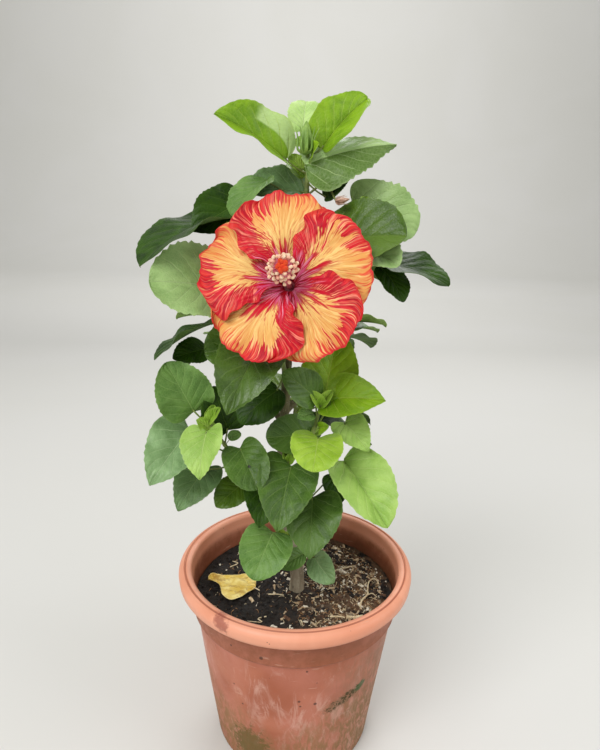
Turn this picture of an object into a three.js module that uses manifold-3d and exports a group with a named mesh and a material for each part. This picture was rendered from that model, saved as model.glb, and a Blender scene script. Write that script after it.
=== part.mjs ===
// A hibiscus shrub in a terracotta-coloured pot, with one large open bloom.
// Millimetres, +Z up. The origin is the centre of the pot's flat underside, and the bloom faces -Y.
// The pot holds a filled root ball, a woody stem rises from it, short boughs leave the stem, and each bough
// ends in a leafy shoot. A shoot is one solid: its stem, its leaf stalks and its blades, fused together.

import * as THREE from "three";
import { mergeVertices } from "three/addons/utils/BufferGeometryUtils.js";
import Module from "manifold-3d";

const wasm = await Module();
wasm.setup();

// Driving sizes of the pot.
const POT_HEIGHT = 245;
const RIM_RADIUS = 150;
const RIM_DEPTH = 19;
const MOUTH_RADIUS = 133;
const COLLAR_RADIUS = 131.5;
const COLLAR_DEPTH = 57;
const COLLAR_STEP = 2.5;
const FOOT_RADIUS = 103;
const WALL = 3.2;
const FLOOR = 5;
const DRAIN_RADIUS = 6;
const DRAIN_CIRCLE = 62;
const DRAIN_COUNT = 6;
const ROUND_SEGMENTS = 36;

// Driving sizes of the root ball and the stem.
const SOIL_LEVEL = 206;
const SOIL_DISH = 2.5;
const SEAT_GAP = 0.3;
const STEM_FOOT_RADIUS = 9.2;
const STEM_FLARE = 1.2;
const STEM_FLARE_HEIGHT = 22;
const STEM_TOP_RADIUS = 3.4;

// Driving sizes that every leaf shares.
const BLADE_THICKNESS = 1.2;
const BLADE_ROWS = 5;
const UNSEEN_BLADE_ROWS = 4;
const YOUNG_BLADE_ROWS = 2;
const STALK_RADIUS = 1.15;
const SHOOT_RADIUS = 3.2;
const SHOOT_TIP_RADIUS = 1.5;
const LEAST_HALF_WIDTH = 0.8;
const TRIES = 12;

// Driving sizes of the bloom.
const BLOOM_SEAT = [-12, -44, 605];
const BLOOM_BEARING = -98;
const BLOOM_RISE = 20;
const PETAL_COUNT = 5;
const PETAL_REACH = 95;
const PETAL_HALF_SPREAD = 55;
const PETAL_TURN = 5;
const PETAL_THICKNESS = 1.3;
const THROAT_DEPTH = 37;
const THROAT_RADIUS = 6.5;
const PETAL_TWIST = 5.5;
const COLUMN_TIP = [-18.7, -103, 632.5];
const COLUMN_RADIUS = 2.4;
const ANTHER_COUNT = 11;
const CALYX_RADIUS = 8.5;

const degrees = THREE.MathUtils.degToRad;
const mix = THREE.MathUtils.lerp;
const vector = (p) => new THREE.Vector3(...p);

// The centre line of the woody stem, from the soil to where the crown's leaves begin.
const STEM_LINE = [
  [2.5, -9, SOIL_LEVEL + SEAT_GAP],
  [2.5, -9, 232],
  [-3, -8, 256],
  [-14, -5, 286],
  [-20, -1, 330],
  [-18, 0, 400],
  [-16, 0, 466],
  [-11, 2, 560],
  [-3, 5, 640],
  [4, 6, 692],
];

// Boughs: each leaves the stem and ends where its shoot begins.
const BOUGHS = [
  { name: "bough_upper_left", line: [[-15, 1, 498], [-24, 4, 524], [-36, 6, 545]], radii: [4.6, 3.3] },
  { name: "bough_upper_right", line: [[-12, 2, 548], [14, 5, 572], [40, 6, 600]], radii: [4.2, 3.3] },
  { name: "bough_mid_left", line: [[-20, -1, 340], [-46, -3, 352], [-70, -6, 375]], radii: [5, 3.3] },
  { name: "bough_mid_right", line: [[-20, -1, 345], [-7, -11, 360], [6, -20, 375]], radii: [5, 3.3] },
  { name: "bough_back_low", line: [[-19, 0, 352], [-14, 26, 372], [-8, 44, 398]], radii: [4.8, 3.3] },
  { name: "bough_back_left", line: [[-17, 0, 430], [-36, 20, 452], [-50, 36, 478]], radii: [4.5, 3.3] },
  { name: "bough_back_right", line: [[-16, 0, 448], [4, 16, 464], [20, 30, 484]], radii: [4.5, 3.3] },
  { name: "bough_back_upper", line: [[-14, 1, 512], [10, 18, 538], [30, 34, 570]], radii: [4.2, 3.3] },
  { name: "bough_back_high", line: [[-10, 2, 575], [-6, 22, 592], [-4, 36, 616]], radii: [4, 3.3] },
];

// How a blade is cut and folded: how steeply its outline rises from the base and falls to the tip, how far
// the base reaches back beside the stalk, and the fold at the midrib where it is more than a usual one.
const FORMS = {
  oval: { rise: 0.52, fall: 0.72, lobe: 0.09 },
  heart: { rise: 0.42, fall: 0.92, lobe: 0.3 },
  round: { rise: 0.42, fall: 0.5, lobe: 0.34 },
  broad: { rise: 0.4, fall: 0.62, lobe: 0.12 },
  cupped: { rise: 0.42, fall: 0.66, lobe: 0.12, fold: 34 },
  ridged: { rise: 0.32, fall: 1, lobe: 0.08, fold: -18 },
};

// Shoots. Each leaf has its stalk's bearing, rise and length, then its blade's bearing, pitch, length, tilt,
// breadth and form. Bearings are degrees from +X towards +Y. `light` is the way the blades turn their upper
// faces, a tilt turns one blade about its own midrib from there, and a breadth of 1 or more makes it broad.
const TO_VIEWER = [0, -0.8, 0.6];
const SHOOTS = [
  {
    name: "foliage_crown", seed: 11, from: [4, 6, 692.3], to: [6, 4, 752], light: TO_VIEWER,
    leaves: [
      [177, 24, 47, -136, -39, 63, 30],
      [102, -7, 19, -162, 1, 63, 8, 0.6, "round"],
      [-4, -39, 26, -24, 38, 36, 0, -1, "oval"],
      [-153, 27, 30, -157, 27, 88, 6, -0.4, "cupped"],
      [-104, 5, 13, 10, 13, 104, 0, -1, "ridged"],
      [-21, 30, 18, 19, 46, 74, -6, 0, "cupped"],
      [122, 58, 24, 85, 50, 44, 0, 0.5, "round"],
    ],
  },
  {
    name: "foliage_upper_left", seed: 23, from: [-36, 6, 545], to: [-85, 5, 655], light: TO_VIEWER,
    leaves: [
      [173, -27, 80, -141, -7, 46],
      [175, -26, 57, -144, -25, 84, 58],
      [-158, -12, 29, -150, 9, 88, -8, 2, "round"],
      [143, 63, 54, -145, -25, 113, 40],
      [64, 56, 60, -146, -28, 76, -5],
    ],
  },
  {
    name: "foliage_upper_right", seed: 31, from: [40, 6, 600], to: [68, 5, 680], light: TO_VIEWER,
    leaves: [
      [-12, 18, 51, -47, -45, 50, -20, 0],
      [-1, 2, 38, -29, -12, 87, -34, 0],
      [-152, 18, 30, -27, 7, 91, -4, 1.4, "round"],
      [-79, -30, 30, -45, -12, 54, 0, 0.8, "round"],
      [111, 40, 29, -15, -20, 80, 12, 1, "round"],
    ],
  },
  {
    name: "foliage_under_bloom", seed: 41, from: [-16, 0, 490], to: [-22, -30, 538], light: TO_VIEWER,
    leaves: [
      [-137, -65, 21, -157, -37, 61, 10, 1],
      [173, 33, 29, -148, 1, 72, -10, 1.4, "round"],
      [-145, 20, 28, -118, -43, 92, 0, 0.5, "heart"],
    ],
  },
  {
    name: "foliage_mid_left", seed: 53, from: [-70, -6, 375], to: [-107, -20, 440], light: TO_VIEWER,
    leaves: [
      [158, -19, 49, -119, -33, 65, 0, 0.5, "heart"],
      [169, 27, 59, -121, -33, 85, 0, 0.6, "heart"],
      [83, 37, 21, -143, 72, 63, 0, 0.6],
      [-123, 31, 23, -94, -48, 59, 16, 1, "heart"],
      [170, 37, 27, -153, 64, 71, 0, 1.2, "broad"],
    ],
  },
  {
    name: "foliage_mid_right", seed: 61, from: [6, -20, 375], to: [26, -38, 470], light: TO_VIEWER,
    leaves: [
      [-4, 15, 50, -53, -34, 95, -22, 0.5, "cupped"],
      [-59, 55, 45, -97, -18, 58, 0, 2, "round"],
      [21, 32, 54, -54, -25, 50, 0, 0.5, "heart"],
      [76, 3, 14, -160, 3, 60, 0, 0.5, "round"],
      [5, 65, 42, -25, 7, 67, 0, 0.5, "heart"],
      [-95, 77, 27, -169, 40, 53],
      [48, 60, 18, 66, 62, 81, 0, 0.5, "heart"],
    ],
  },
  {
    name: "foliage_front", seed: 71, from: [-16, -13, 300], to: [-10, -38, 399], light: TO_VIEWER,
    leaves: [
      [27, 37, 84, -71, -35, 42],
      [155, 22, 63, -138, -24, 47],
      [-27, 19, 39, -94, -41, 74, 0, 1.5, "heart"],
      [172, 49, 27, -103, -41, 70, 0, 1, "heart"],
      [-72, 57, 26, -103, -41, 80, 0, 1, "heart"],
      [-176, 23, 62, -59, -34, 58, 0, 1, "round"],
    ],
  },
  {
    name: "foliage_low", seed: 83, from: [-10, -14, 250], to: [-12, -34, 292], light: TO_VIEWER,
    leaves: [
      [-43, 32, 32, -154, -19, 34],
      [7, -16, 36, -53, -22, 44, 20],
      [-129, 47, 37, -114, -35, 61, 0, 2, "broad"],
    ],
  },
  {
    name: "foliage_back_low", seed: 146, from: [-8, 44, 398], to: [-2, 66, 450],
    outward: 92, span: 250, count: 9, largest: 94,
    space: [[-128, 18, 280], [100, 180, 470]],
  },
  {
    name: "foliage_back_left", seed: 125, from: [-50, 36, 478], to: [-72, 52, 536],
    outward: 118, span: 240, count: 9, largest: 88,
    space: [[-160, 21, 474], [-14, 160, 590]],
  },
  {
    name: "foliage_back_right", seed: 120, from: [20, 30, 484], to: [32, 50, 532],
    outward: 80, span: 240, count: 8, largest: 80,
    space: [[-12, 8, 474], [110, 160, 563]],
  },
  {
    name: "foliage_back_upper", seed: 149, from: [30, 34, 570], to: [52, 52, 636],
    outward: 68, span: 210, count: 7, largest: 84,
    space: [[24, 29, 564], [128, 160, 716]],
  },
  {
    name: "foliage_back_high", seed: 153, from: [-4, 36, 616], to: [-8, 56, 676],
    outward: 100, span: 240, count: 8, largest: 88,
    space: [[-90, 20, 588], [23, 170, 735]],
  },
];

// A repeatable run of numbers between 0 and 1.
function dice(seed) {
  let state = seed;
  return () => {
    state = (state * 16807) % 2147483647;
    return state / 2147483647;
  };
}

function direction(bearing, rise) {
  const b = degrees(bearing);
  const r = degrees(rise);
  return new THREE.Vector3(Math.cos(r) * Math.cos(b), Math.cos(r) * Math.sin(b), Math.sin(r));
}

// A closed geometry as a solid, its shared vertices merged.
function solid(geometry) {
  const plain = geometry.clone();
  plain.deleteAttribute("normal");
  plain.deleteAttribute("uv");
  const merged = mergeVertices(plain, 1e-3);
  return new wasm.Manifold(new wasm.Mesh({
    numProp: 3,
    vertProperties: merged.attributes.position.array,
    triVerts: new Uint32Array(merged.index.array),
  }));
}

function geometryOf(made) {
  const mesh = made.getMesh();
  const geometry = new THREE.BufferGeometry();
  geometry.setAttribute("position", new THREE.BufferAttribute(mesh.vertProperties, 3));
  geometry.setIndex(new THREE.BufferAttribute(mesh.triVerts, 1));
  return geometry;
}

function join(solids) {
  return wasm.Manifold.union(solids);
}

// The largest body of a solid: loose scraps are dropped.
function largestBody(made) {
  return made.decompose().sort((a, b) => b.volume() - a.volume())[0];
}

// A closed shell from two grids of points, upper and lower, each a list of rows.
function shell(upper, lower) {
  const rows = upper.length;
  const columns = upper[0].length;
  const points = [...upper.flat(), ...lower.flat()];
  const under = rows * columns;
  const at = (i, j) => i * columns + j;
  const faces = [];
  const quad = (a, b, c, d) => faces.push(a, b, c, a, c, d);
  for (let i = 0; i < rows - 1; i++) {
    for (let j = 0; j < columns - 1; j++) {
      quad(at(i, j), at(i + 1, j), at(i + 1, j + 1), at(i, j + 1));
      quad(under + at(i, j), under + at(i, j + 1), under + at(i + 1, j + 1), under + at(i + 1, j));
    }
    quad(at(i, 0), under + at(i, 0), under + at(i + 1, 0), at(i + 1, 0));
    const last = columns - 1;
    quad(at(i, last), at(i + 1, last), under + at(i + 1, last), under + at(i, last));
  }
  for (let j = 0; j < columns - 1; j++) {
    const end = rows - 1;
    quad(at(0, j), at(0, j + 1), under + at(0, j + 1), under + at(0, j));
    quad(at(end, j), under + at(end, j), under + at(end, j + 1), at(end, j + 1));
  }
  const geometry = new THREE.BufferGeometry().setFromPoints(points);
  geometry.setIndex(faces);
  const made = solid(geometry);
  if (made.volume() > 0) return made;
  const flipped = new THREE.BufferGeometry().setFromPoints(points);
  flipped.setIndex(faces.reverse());
  return solid(flipped);
}

// A limb with flat ends along a line of points, its radius read from a function of the share travelled.
function limb(line, radiusAt, sides, steps) {
  const curve = new THREE.CatmullRomCurve3(line.map((p) => vector(p)));
  const frames = curve.computeFrenetFrames(steps, false);
  const points = [];
  for (let i = 0; i <= steps; i++) {
    const centre = curve.getPointAt(i / steps);
    for (let k = 0; k < sides; k++) {
      const angle = (2 * Math.PI * k) / sides;
      const radius = radiusAt(i / steps, angle);
      points.push(centre.clone()
        .addScaledVector(frames.normals[i], radius * Math.cos(angle))
        .addScaledVector(frames.binormals[i], radius * Math.sin(angle)));
    }
  }
  const first = points.length;
  points.push(curve.getPointAt(0), curve.getPointAt(1));
  const faces = [];
  for (let k = 0; k < sides; k++) {
    const next = (k + 1) % sides;
    for (let i = 0; i < steps; i++) {
      const [a, b] = [i * sides + k, i * sides + next];
      faces.push(a, b, b + sides, a, b + sides, a + sides);
    }
    faces.push(first, next, k, first + 1, steps * sides + k, steps * sides + next);
  }
  const geometry = new THREE.BufferGeometry().setFromPoints(points);
  geometry.setIndex(faces);
  return solid(geometry);
}

function turned(profile) {
  const made = new THREE.LatheGeometry(profile.map(([r, z]) => new THREE.Vector2(r, z)), ROUND_SEGMENTS);
  made.rotateX(Math.PI / 2);
  return solid(made);
}

// The pot: a tapered wall with a collar under a rolled rim, and drain holes through its flat floor.
function pot() {
  const wallSlope = (COLLAR_RADIUS - COLLAR_STEP - FOOT_RADIUS) / (POT_HEIGHT - COLLAR_DEPTH);
  const innerAt = (z) => FOOT_RADIUS + wallSlope * z - WALL;
  const roll = [];
  const rollCentre = (RIM_RADIUS + MOUTH_RADIUS) / 2;
  const rollRadius = (RIM_RADIUS - MOUTH_RADIUS) / 2;
  for (let k = 0; k <= 6; k++) {
    const angle = Math.PI * (k / 6);
    roll.push([rollCentre + rollRadius * Math.cos(angle), POT_HEIGHT - rollRadius * (1 - Math.sin(angle))]);
  }
  const profile = [
    [0, 0],
    [FOOT_RADIUS - 3, 0],
    [FOOT_RADIUS, 3],
    [COLLAR_RADIUS - COLLAR_STEP, POT_HEIGHT - COLLAR_DEPTH],
    [COLLAR_RADIUS, POT_HEIGHT - COLLAR_DEPTH + COLLAR_STEP],
    [COLLAR_RADIUS + 1.5, POT_HEIGHT - RIM_DEPTH + 4],
    [RIM_RADIUS - 4, POT_HEIGHT - RIM_DEPTH],
    [RIM_RADIUS - 1, POT_HEIGHT - RIM_DEPTH + 3],
    ...roll,
    [MOUTH_RADIUS - 1.5, POT_HEIGHT - RIM_DEPTH],
    [innerAt(SOIL_LEVEL), SOIL_LEVEL - 14],
    [innerAt(0), FLOOR + 2],
    [innerAt(0) - 3, FLOOR],
    [0, FLOOR],
  ];
  const drains = [];
  for (let k = 0; k < DRAIN_COUNT; k++) {
    const angle = (2 * Math.PI * k) / DRAIN_COUNT;
    const hole = new THREE.CylinderGeometry(DRAIN_RADIUS, DRAIN_RADIUS, 4 * FLOOR, 12);
    hole.rotateX(Math.PI / 2);
    hole.translate(DRAIN_CIRCLE * Math.cos(angle), DRAIN_CIRCLE * Math.sin(angle), 0);
    drains.push(solid(hole));
  }
  return turned(profile).subtract(join(drains));
}

// The filled root ball: it stands 0.3 mm clear of the pot's floor and wall, and dips a little at its edge.
function rootBall() {
  const wallSlope = (COLLAR_RADIUS - COLLAR_STEP - FOOT_RADIUS) / (POT_HEIGHT - COLLAR_DEPTH);
  const clearAt = (z) => FOOT_RADIUS + wallSlope * z - WALL - 2 * SEAT_GAP;
  return turned([
    [0, FLOOR + SEAT_GAP],
    [clearAt(0) - 4, FLOOR + SEAT_GAP],
    [clearAt(0) - 0.5, FLOOR + 3],
    [clearAt(SOIL_LEVEL) - 1.5, SOIL_LEVEL - 14],
    [clearAt(SOIL_LEVEL), SOIL_LEVEL - SOIL_DISH],
    [100, SOIL_LEVEL - 1],
    [60, SOIL_LEVEL],
    [0, SOIL_LEVEL],
  ]);
}

// The woody stem: it flares at the soil and tapers to the crown.
function stemRadius(share, angle = 0) {
  const height = share * (692 - SOIL_LEVEL);
  const flare = STEM_FLARE * Math.exp(-height / STEM_FLARE_HEIGHT * 2) * (1 + 0.35 * Math.cos(3 * angle));
  return mix(STEM_FOOT_RADIUS, STEM_TOP_RADIUS, Math.pow(share, 0.8)) + flare;
}

function woodyStem(extra = 0) {
  const made = limb(STEM_LINE, (share, angle) => stemRadius(share, angle) + extra, 9, 13);
  return made.trimByPlane([0, 0, 1], SOIL_LEVEL + SEAT_GAP);
}

// How far each share of a blade's length reaches to either side, as a share of its half width.
function bladeOutline(share, { rise, fall }) {
  const cut = (at) => Math.pow(at, rise) * Math.pow(1 - at, fall);
  return cut(share) / cut(rise / (rise + fall));
}

// One leaf: where its stalk leaves the shoot, and the frame and shape of its blade.
function leafPlan(node, row, light, roll) {
  const [turn, rise, stalk, aim, pitch, size, tilt, broad, kind] = row;
  const form = FORMS[kind ?? "oval"];
  const base = node.clone().addScaledVector(direction(turn, rise), stalk);
  const along = direction(aim, pitch);
  const up = vector(light).normalize();
  up.addScaledVector(along, -up.dot(along)).normalize();
  up.applyAxisAngle(along, degrees(tilt ?? 0));
  const side = new THREE.Vector3().crossVectors(up, along);
  return {
    node, base, along, up, side, size, form,
    halfWidth: size * mix(0.4, 0.46, broad ?? roll()),
    fold: degrees(form.fold ?? mix(10, 24, roll())),
    arch: degrees(mix(26, 50, roll())),
    phase: 2 * Math.PI * roll(),
  };
}

// A point of a blade: share runs from its base to its tip, across from -1 to 1, and lift is above its middle.
function bladePoint(leaf, share, across, lift) {
  const { size, arch, fold, form } = leaf;
  const bend = size / (2 * Math.sin(arch / 2));
  const angle = arch * (share - 0.5);
  const outline = bladeOutline(share, form);
  const half = Math.max(leaf.halfWidth * outline, LEAST_HALF_WIDTH);
  const reach = bend * (Math.sin(angle) + Math.sin(arch / 2));
  const height = bend * (Math.cos(angle) - Math.cos(arch / 2));
  const lobe = form.lobe * size * outline * Math.pow(1 - share, 4) * across * across;
  const wave = 0.018 * size * Math.sin(5 * Math.PI * share + leaf.phase + across) * across * across;
  const normal = leaf.along.clone().multiplyScalar(Math.sin(angle)).addScaledVector(leaf.up, Math.cos(angle));
  return leaf.base.clone()
    .addScaledVector(leaf.along, reach - lobe)
    .addScaledVector(leaf.up, height)
    .addScaledVector(leaf.side, half * across * Math.cos(fold))
    .addScaledVector(normal, half * Math.abs(across) * Math.sin(fold) + wave + lift);
}

function blade(leaf, count) {
  const grid = (lift) => {
    const rows = [];
    for (let i = 0; i <= count; i++) {
      rows.push([-1, 0, 1].map((across) => bladePoint(leaf, i / count, across, lift)));
    }
    return rows;
  };
  return shell(grid(BLADE_THICKNESS / 2), grid(-BLADE_THICKNESS / 2));
}

// A leaf stalk: it starts inside the shoot and ends inside the blade.
function stalkLine(leaf) {
  return [leaf.node.toArray(), bladePoint(leaf, 0.06, 0, 0).toArray()];
}

// The rule for a shoot that no one leaf is known of: its oldest and largest leaves are lowest, and each takes
// the first of a few bearings at which it keeps to the shoot's own space and clear of the leaves before it.
function grownLeaf(shoot, node, i, roll, taken) {
  const share = (i + 0.5) / shoot.count;
  const size = shoot.largest * (1 - 0.3 * share) * mix(0.92, 1.08, roll());
  for (let attempt = 0; attempt < TRIES; attempt++) {
    const turn = shoot.outward + shoot.span * (((i * 0.618 + attempt * 0.382 + 0.5) % 1) - 0.5);
    const aim = turn + mix(-30, 30, roll());
    const pitch = mix(-48, 10, share) + mix(-10, 10, roll());
    const stalk = size * mix(0.3, 0.5, roll());
    const row = [turn, mix(8, 46, share), stalk, aim, pitch, size, mix(-20, 20, roll())];
    const leaf = leafPlan(node, row, direction(turn, 40).toArray(), roll);
    const body = blade(leaf, UNSEEN_BLADE_ROWS);
    if (keepsToSpace(leaf, shoot.space) && taken.every((other) => body.intersect(other).isEmpty())) {
      taken.push(body);
      return leaf;
    }
  }
  return null;
}

function leavesOf(shoot) {
  const roll = dice(shoot.seed);
  const [from, to] = [vector(shoot.from), vector(shoot.to)];
  const count = shoot.leaves?.length ?? shoot.count;
  const taken = [];
  const made = [];
  for (let i = 0; i < count; i++) {
    const node = from.clone().lerp(to, (i + 0.5) / count);
    const known = shoot.leaves?.[i];
    const leaf = known ? leafPlan(node, known, shoot.light, roll) : grownLeaf(shoot, node, i, roll, taken);
    if (leaf) made.push(leaf);
  }
  return made;
}

// Whether a leaf's tip and sides stay in the shoot's own space.
function keepsToSpace(leaf, space) {
  const box = new THREE.Box3(vector(space[0]), vector(space[1]));
  const probes = [[1, 0], [0.4, -1], [0.4, 1]].map(([share, across]) => bladePoint(leaf, share, across, 0));
  return probes.every((p) => box.containsPoint(p));
}

// The two half-open leaves at a shoot's tip.
function youngLeaves(shoot) {
  const roll = dice(shoot.seed + 1);
  const tip = vector(shoot.from).lerp(vector(shoot.to), 0.97);
  return [0, 1].map((k) => {
    const turn = 360 * roll() + 170 * k;
    return leafPlan(tip, [turn, 60, 1, turn, mix(52, 72, roll()), mix(18, 24, roll()), 0], TO_VIEWER, roll);
  });
}

function shootSolid(shoot, limbsWithGap) {
  const stem = limb([shoot.from, vector(shoot.from).lerp(vector(shoot.to), 0.5).toArray(), shoot.to],
    (share) => mix(SHOOT_RADIUS, SHOOT_TIP_RADIUS, share), 6, 3);
  const parts = [largestBody(stem.subtract(limbsWithGap))];
  const rows = shoot.leaves ? BLADE_ROWS : UNSEEN_BLADE_ROWS;
  for (const leaf of leavesOf(shoot)) {
    parts.push(limb(stalkLine(leaf), () => STALK_RADIUS, 3, 1), blade(leaf, rows));
  }
  if (shoot.name === "foliage_crown") parts.push(...flowerBuds(shoot));
  else parts.push(...youngLeaves(shoot).map((leaf) => blade(leaf, YOUNG_BLADE_ROWS)));
  return largestBody(join(parts));
}

// Two unopened flowers of the crown: the green one on the shoot's tip, and a small one beside the bloom.
const BUD_PROFILE = [[0, -3], [3.5, -1], [6, 5], [7, 12], [5.5, 20], [2.5, 27], [0, 30]];
const SMALL_BUD_AT = [37, -14, 694];
const SMALL_BUD_SCALE = 0.55;

function flowerBuds(shoot) {
  const bud = (place, scale, bearing, rise) => {
    const profile = BUD_PROFILE.map(([r, z]) => new THREE.Vector2(r * scale, z * scale));
    const made = new THREE.LatheGeometry(profile, 8);
    made.applyQuaternion(new THREE.Quaternion().setFromUnitVectors(
      new THREE.Vector3(0, 1, 0), direction(bearing, rise)));
    made.translate(...place);
    return solid(made);
  };
  const branch = vector(shoot.from).lerp(vector(shoot.to), 0.12);
  const stalk = limb([branch.toArray(), [24, 2, 712], SMALL_BUD_AT], () => STALK_RADIUS, 5, 3);
  return [bud(shoot.to, 1, 60, 84), bud(SMALL_BUD_AT, SMALL_BUD_SCALE, -20, -10), stalk];
}

// The bloom's frame: its axis points out of the flower, `over` is its top.
const bloomAxis = direction(BLOOM_BEARING, BLOOM_RISE);
const bloomOver = new THREE.Vector3(0, 0, 1).addScaledVector(bloomAxis, -bloomAxis.z).normalize();
const bloomSide = new THREE.Vector3().crossVectors(bloomOver, bloomAxis);

function bloomPoint(radius, angle, out) {
  return vector(BLOOM_SEAT)
    .addScaledVector(bloomOver, radius * Math.cos(angle))
    .addScaledVector(bloomSide, -radius * Math.sin(angle))
    .addScaledVector(bloomAxis, out);
}

// The petals' common surface: a funnel up to the throat's mouth, then a nearly flat face.
function petalRadius(share) {
  return mix(THROAT_RADIUS, PETAL_REACH, Math.pow(share, 1.35));
}

function petalHeight(share) {
  return THROAT_DEPTH * Math.pow(Math.sin((Math.min(share / 0.62, 1) * Math.PI) / 2), 0.9);
}

// A petal overlaps the next one round: one edge stands forward of its neighbour, the other lies behind.
function petalPoint(index, share, across, lift) {
  const opening = mix(31, PETAL_HALF_SPREAD, Math.min(1, share * 2.2));
  const spread = degrees(opening * Math.pow(1 - Math.pow(share, 7), 0.35));
  const angle = degrees(PETAL_TURN) + (2 * Math.PI * index) / PETAL_COUNT + across * spread;
  const twist = PETAL_TWIST * Math.min(1, share * 3) * across;
  const ripple = 2.2 * share * share * Math.sin(9 * across + 2 * index);
  const droop = -6 * share * share * share;
  const tip = 1 - 0.07 * across * across;
  return bloomPoint(petalRadius(share) * tip, angle, 1 + petalHeight(share) + twist + ripple + droop + lift);
}

function petal(index) {
  const grid = (lift) => {
    const rows = [];
    for (let i = 0; i <= 8; i++) {
      const row = [];
      for (let j = 0; j <= 6; j++) row.push(petalPoint(index, 0.97 * (i / 8), j / 3 - 1, lift));
      rows.push(row);
    }
    return rows;
  };
  return shell(grid(PETAL_THICKNESS / 2), grid(-PETAL_THICKNESS / 2));
}

// The flower's stalk and the cup that carries petals and column.
function calyx(stemWithGap) {
  const back = bloomPoint(0, 0, -27);
  const line = [[-13, 1, 545], [-12, -9, 566], back.clone().add(new THREE.Vector3(0, 6, -12)).toArray(),
    back.clone().addScaledVector(bloomAxis, 3).toArray()];
  const stalk = limb(line, (share) => mix(1.7, 2.6, share), 6, 5).subtract(stemWithGap);
  const wide = CALYX_RADIUS + 0.5;
  const outline = [[0, -28], [3.5, -27], [CALYX_RADIUS, -16], [wide, -4], [CALYX_RADIUS, 0], [0, 0]];
  const cup = new THREE.LatheGeometry(outline.map(([r, z]) => new THREE.Vector2(r, z)), 15);
  cup.applyQuaternion(new THREE.Quaternion().setFromUnitVectors(new THREE.Vector3(0, 1, 0), bloomAxis));
  cup.translate(...BLOOM_SEAT);
  const bracts = [];
  for (let k = 0; k < 5; k++) {
    const angle = (2 * Math.PI * k) / 5;
    const line = [bloomPoint(3, angle, -23), bloomPoint(12, angle, -20), bloomPoint(15, angle, -8)];
    bracts.push(limb(line.map((p) => p.toArray()), (share) => mix(1.3, 0.5, share), 3, 2));
  }
  return largestBody(join([largestBody(stalk), solid(cup), ...bracts]));
}

// The column at the bloom's heart, with its anthers and five stigma pads.
function column() {
  const foot = bloomPoint(0, 0, SEAT_GAP);
  const centre = (share) => foot.clone().lerp(vector(COLUMN_TIP), share);
  const line = [0, 0.5, 1].map((share) => centre(share).toArray());
  const parts = [limb(line, (share) => COLUMN_RADIUS * mix(1.25, 0.8, share), 8, 5)];
  const roll = dice(7);
  const dot = (place, size) => {
    const made = new THREE.OctahedronGeometry(size);
    made.translate(...place.toArray());
    return solid(made);
  };
  for (let k = 0; k < ANTHER_COUNT; k++) {
    const share = mix(0.74, 0.96, k / (ANTHER_COUNT - 1));
    const angle = k * degrees(137.5);
    const reach = mix(11, 14.5, roll());
    const root = centre(share);
    const out = bloomPoint(reach, angle, 0).sub(vector(BLOOM_SEAT));
    const end = root.clone().add(out).addScaledVector(bloomAxis, 3);
    parts.push(limb([root.toArray(), root.clone().lerp(end, 0.6).toArray(), end.toArray()], () => 0.5, 3, 1));
    parts.push(dot(end, 2.2));
  }
  for (let k = 0; k < 5; k++) {
    const root = centre(0.98);
    const out = bloomPoint(6, (2 * Math.PI * k) / 5, 0).sub(vector(BLOOM_SEAT));
    const end = root.clone().add(out).addScaledVector(bloomAxis, 7);
    parts.push(limb([root.toArray(), root.clone().lerp(end, 0.6).toArray(), end.toArray()], () => 0.7, 3, 1));
    parts.push(dot(end, 2.8));
  }
  return largestBody(join(parts));
}

// A shed leaf that lies on the soil, its edges curled up.
function fallenLeaf() {
  const leaf = {
    base: vector([-49, -13, SOIL_LEVEL + 6]),
    along: direction(172, 3),
    up: new THREE.Vector3(0, 0, 1),
    size: 66,
    form: FORMS.heart,
    halfWidth: 26,
    fold: degrees(12),
    arch: degrees(24),
    phase: 2,
  };
  leaf.side = new THREE.Vector3().crossVectors(leaf.up, leaf.along).normalize();
  const made = blade(leaf, BLADE_ROWS + 2);
  const lowest = made.boundingBox().min[2];
  return made.translate([0, 0, SOIL_LEVEL + SEAT_GAP - lowest]);
}

const FINISH = {
  pot: { color: 0xb9694a, roughness: 0.6 },
  soil: { color: 0x2a1f18, roughness: 0.95 },
  bark: { color: 0x7c6a55, roughness: 0.85 },
  leaf: { color: 0x3f6f2a, roughness: 0.45 },
  petal: { color: 0xf2a44a, roughness: 0.55 },
  column: { color: 0xd98a86, roughness: 0.6 },
  calyx: { color: 0x6f9a3c, roughness: 0.6 },
  shed_leaf: { color: 0xd9b24a, roughness: 0.7 },
};

const shrub = new THREE.Group();

function place(name, finish, made) {
  const material = new THREE.MeshStandardMaterial({ ...FINISH[finish], metalness: 0 });
  const mesh = new THREE.Mesh(geometryOf(made), material);
  mesh.name = name;
  shrub.add(mesh);
}

const stemWithGap = woodyStem(SEAT_GAP);
const boughSolid = (bough, extra) => limb(bough.line, (share) => mix(...bough.radii, share) + extra, 6, 3);
const limbsWithGap = join([stemWithGap, ...BOUGHS.map((bough) => boughSolid(bough, SEAT_GAP))]);

place("pot", "pot", pot());
place("soil", "soil", rootBall());
place("trunk", "bark", woodyStem());
for (const bough of BOUGHS) {
  place(bough.name, "bark", largestBody(boughSolid(bough, 0).subtract(stemWithGap)));
}
for (const shoot of SHOOTS) {
  place(shoot.name, "leaf", shootSolid(shoot, limbsWithGap));
}
place("bloom_calyx", "calyx", calyx(stemWithGap));
for (let k = 0; k < PETAL_COUNT; k++) {
  place("bloom_petal_" + (k + 1), "petal", petal(k));
}
place("bloom_column", "column", column());
place("fallen_leaf", "shed_leaf", fallenLeaf());

export default shrub;
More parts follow.
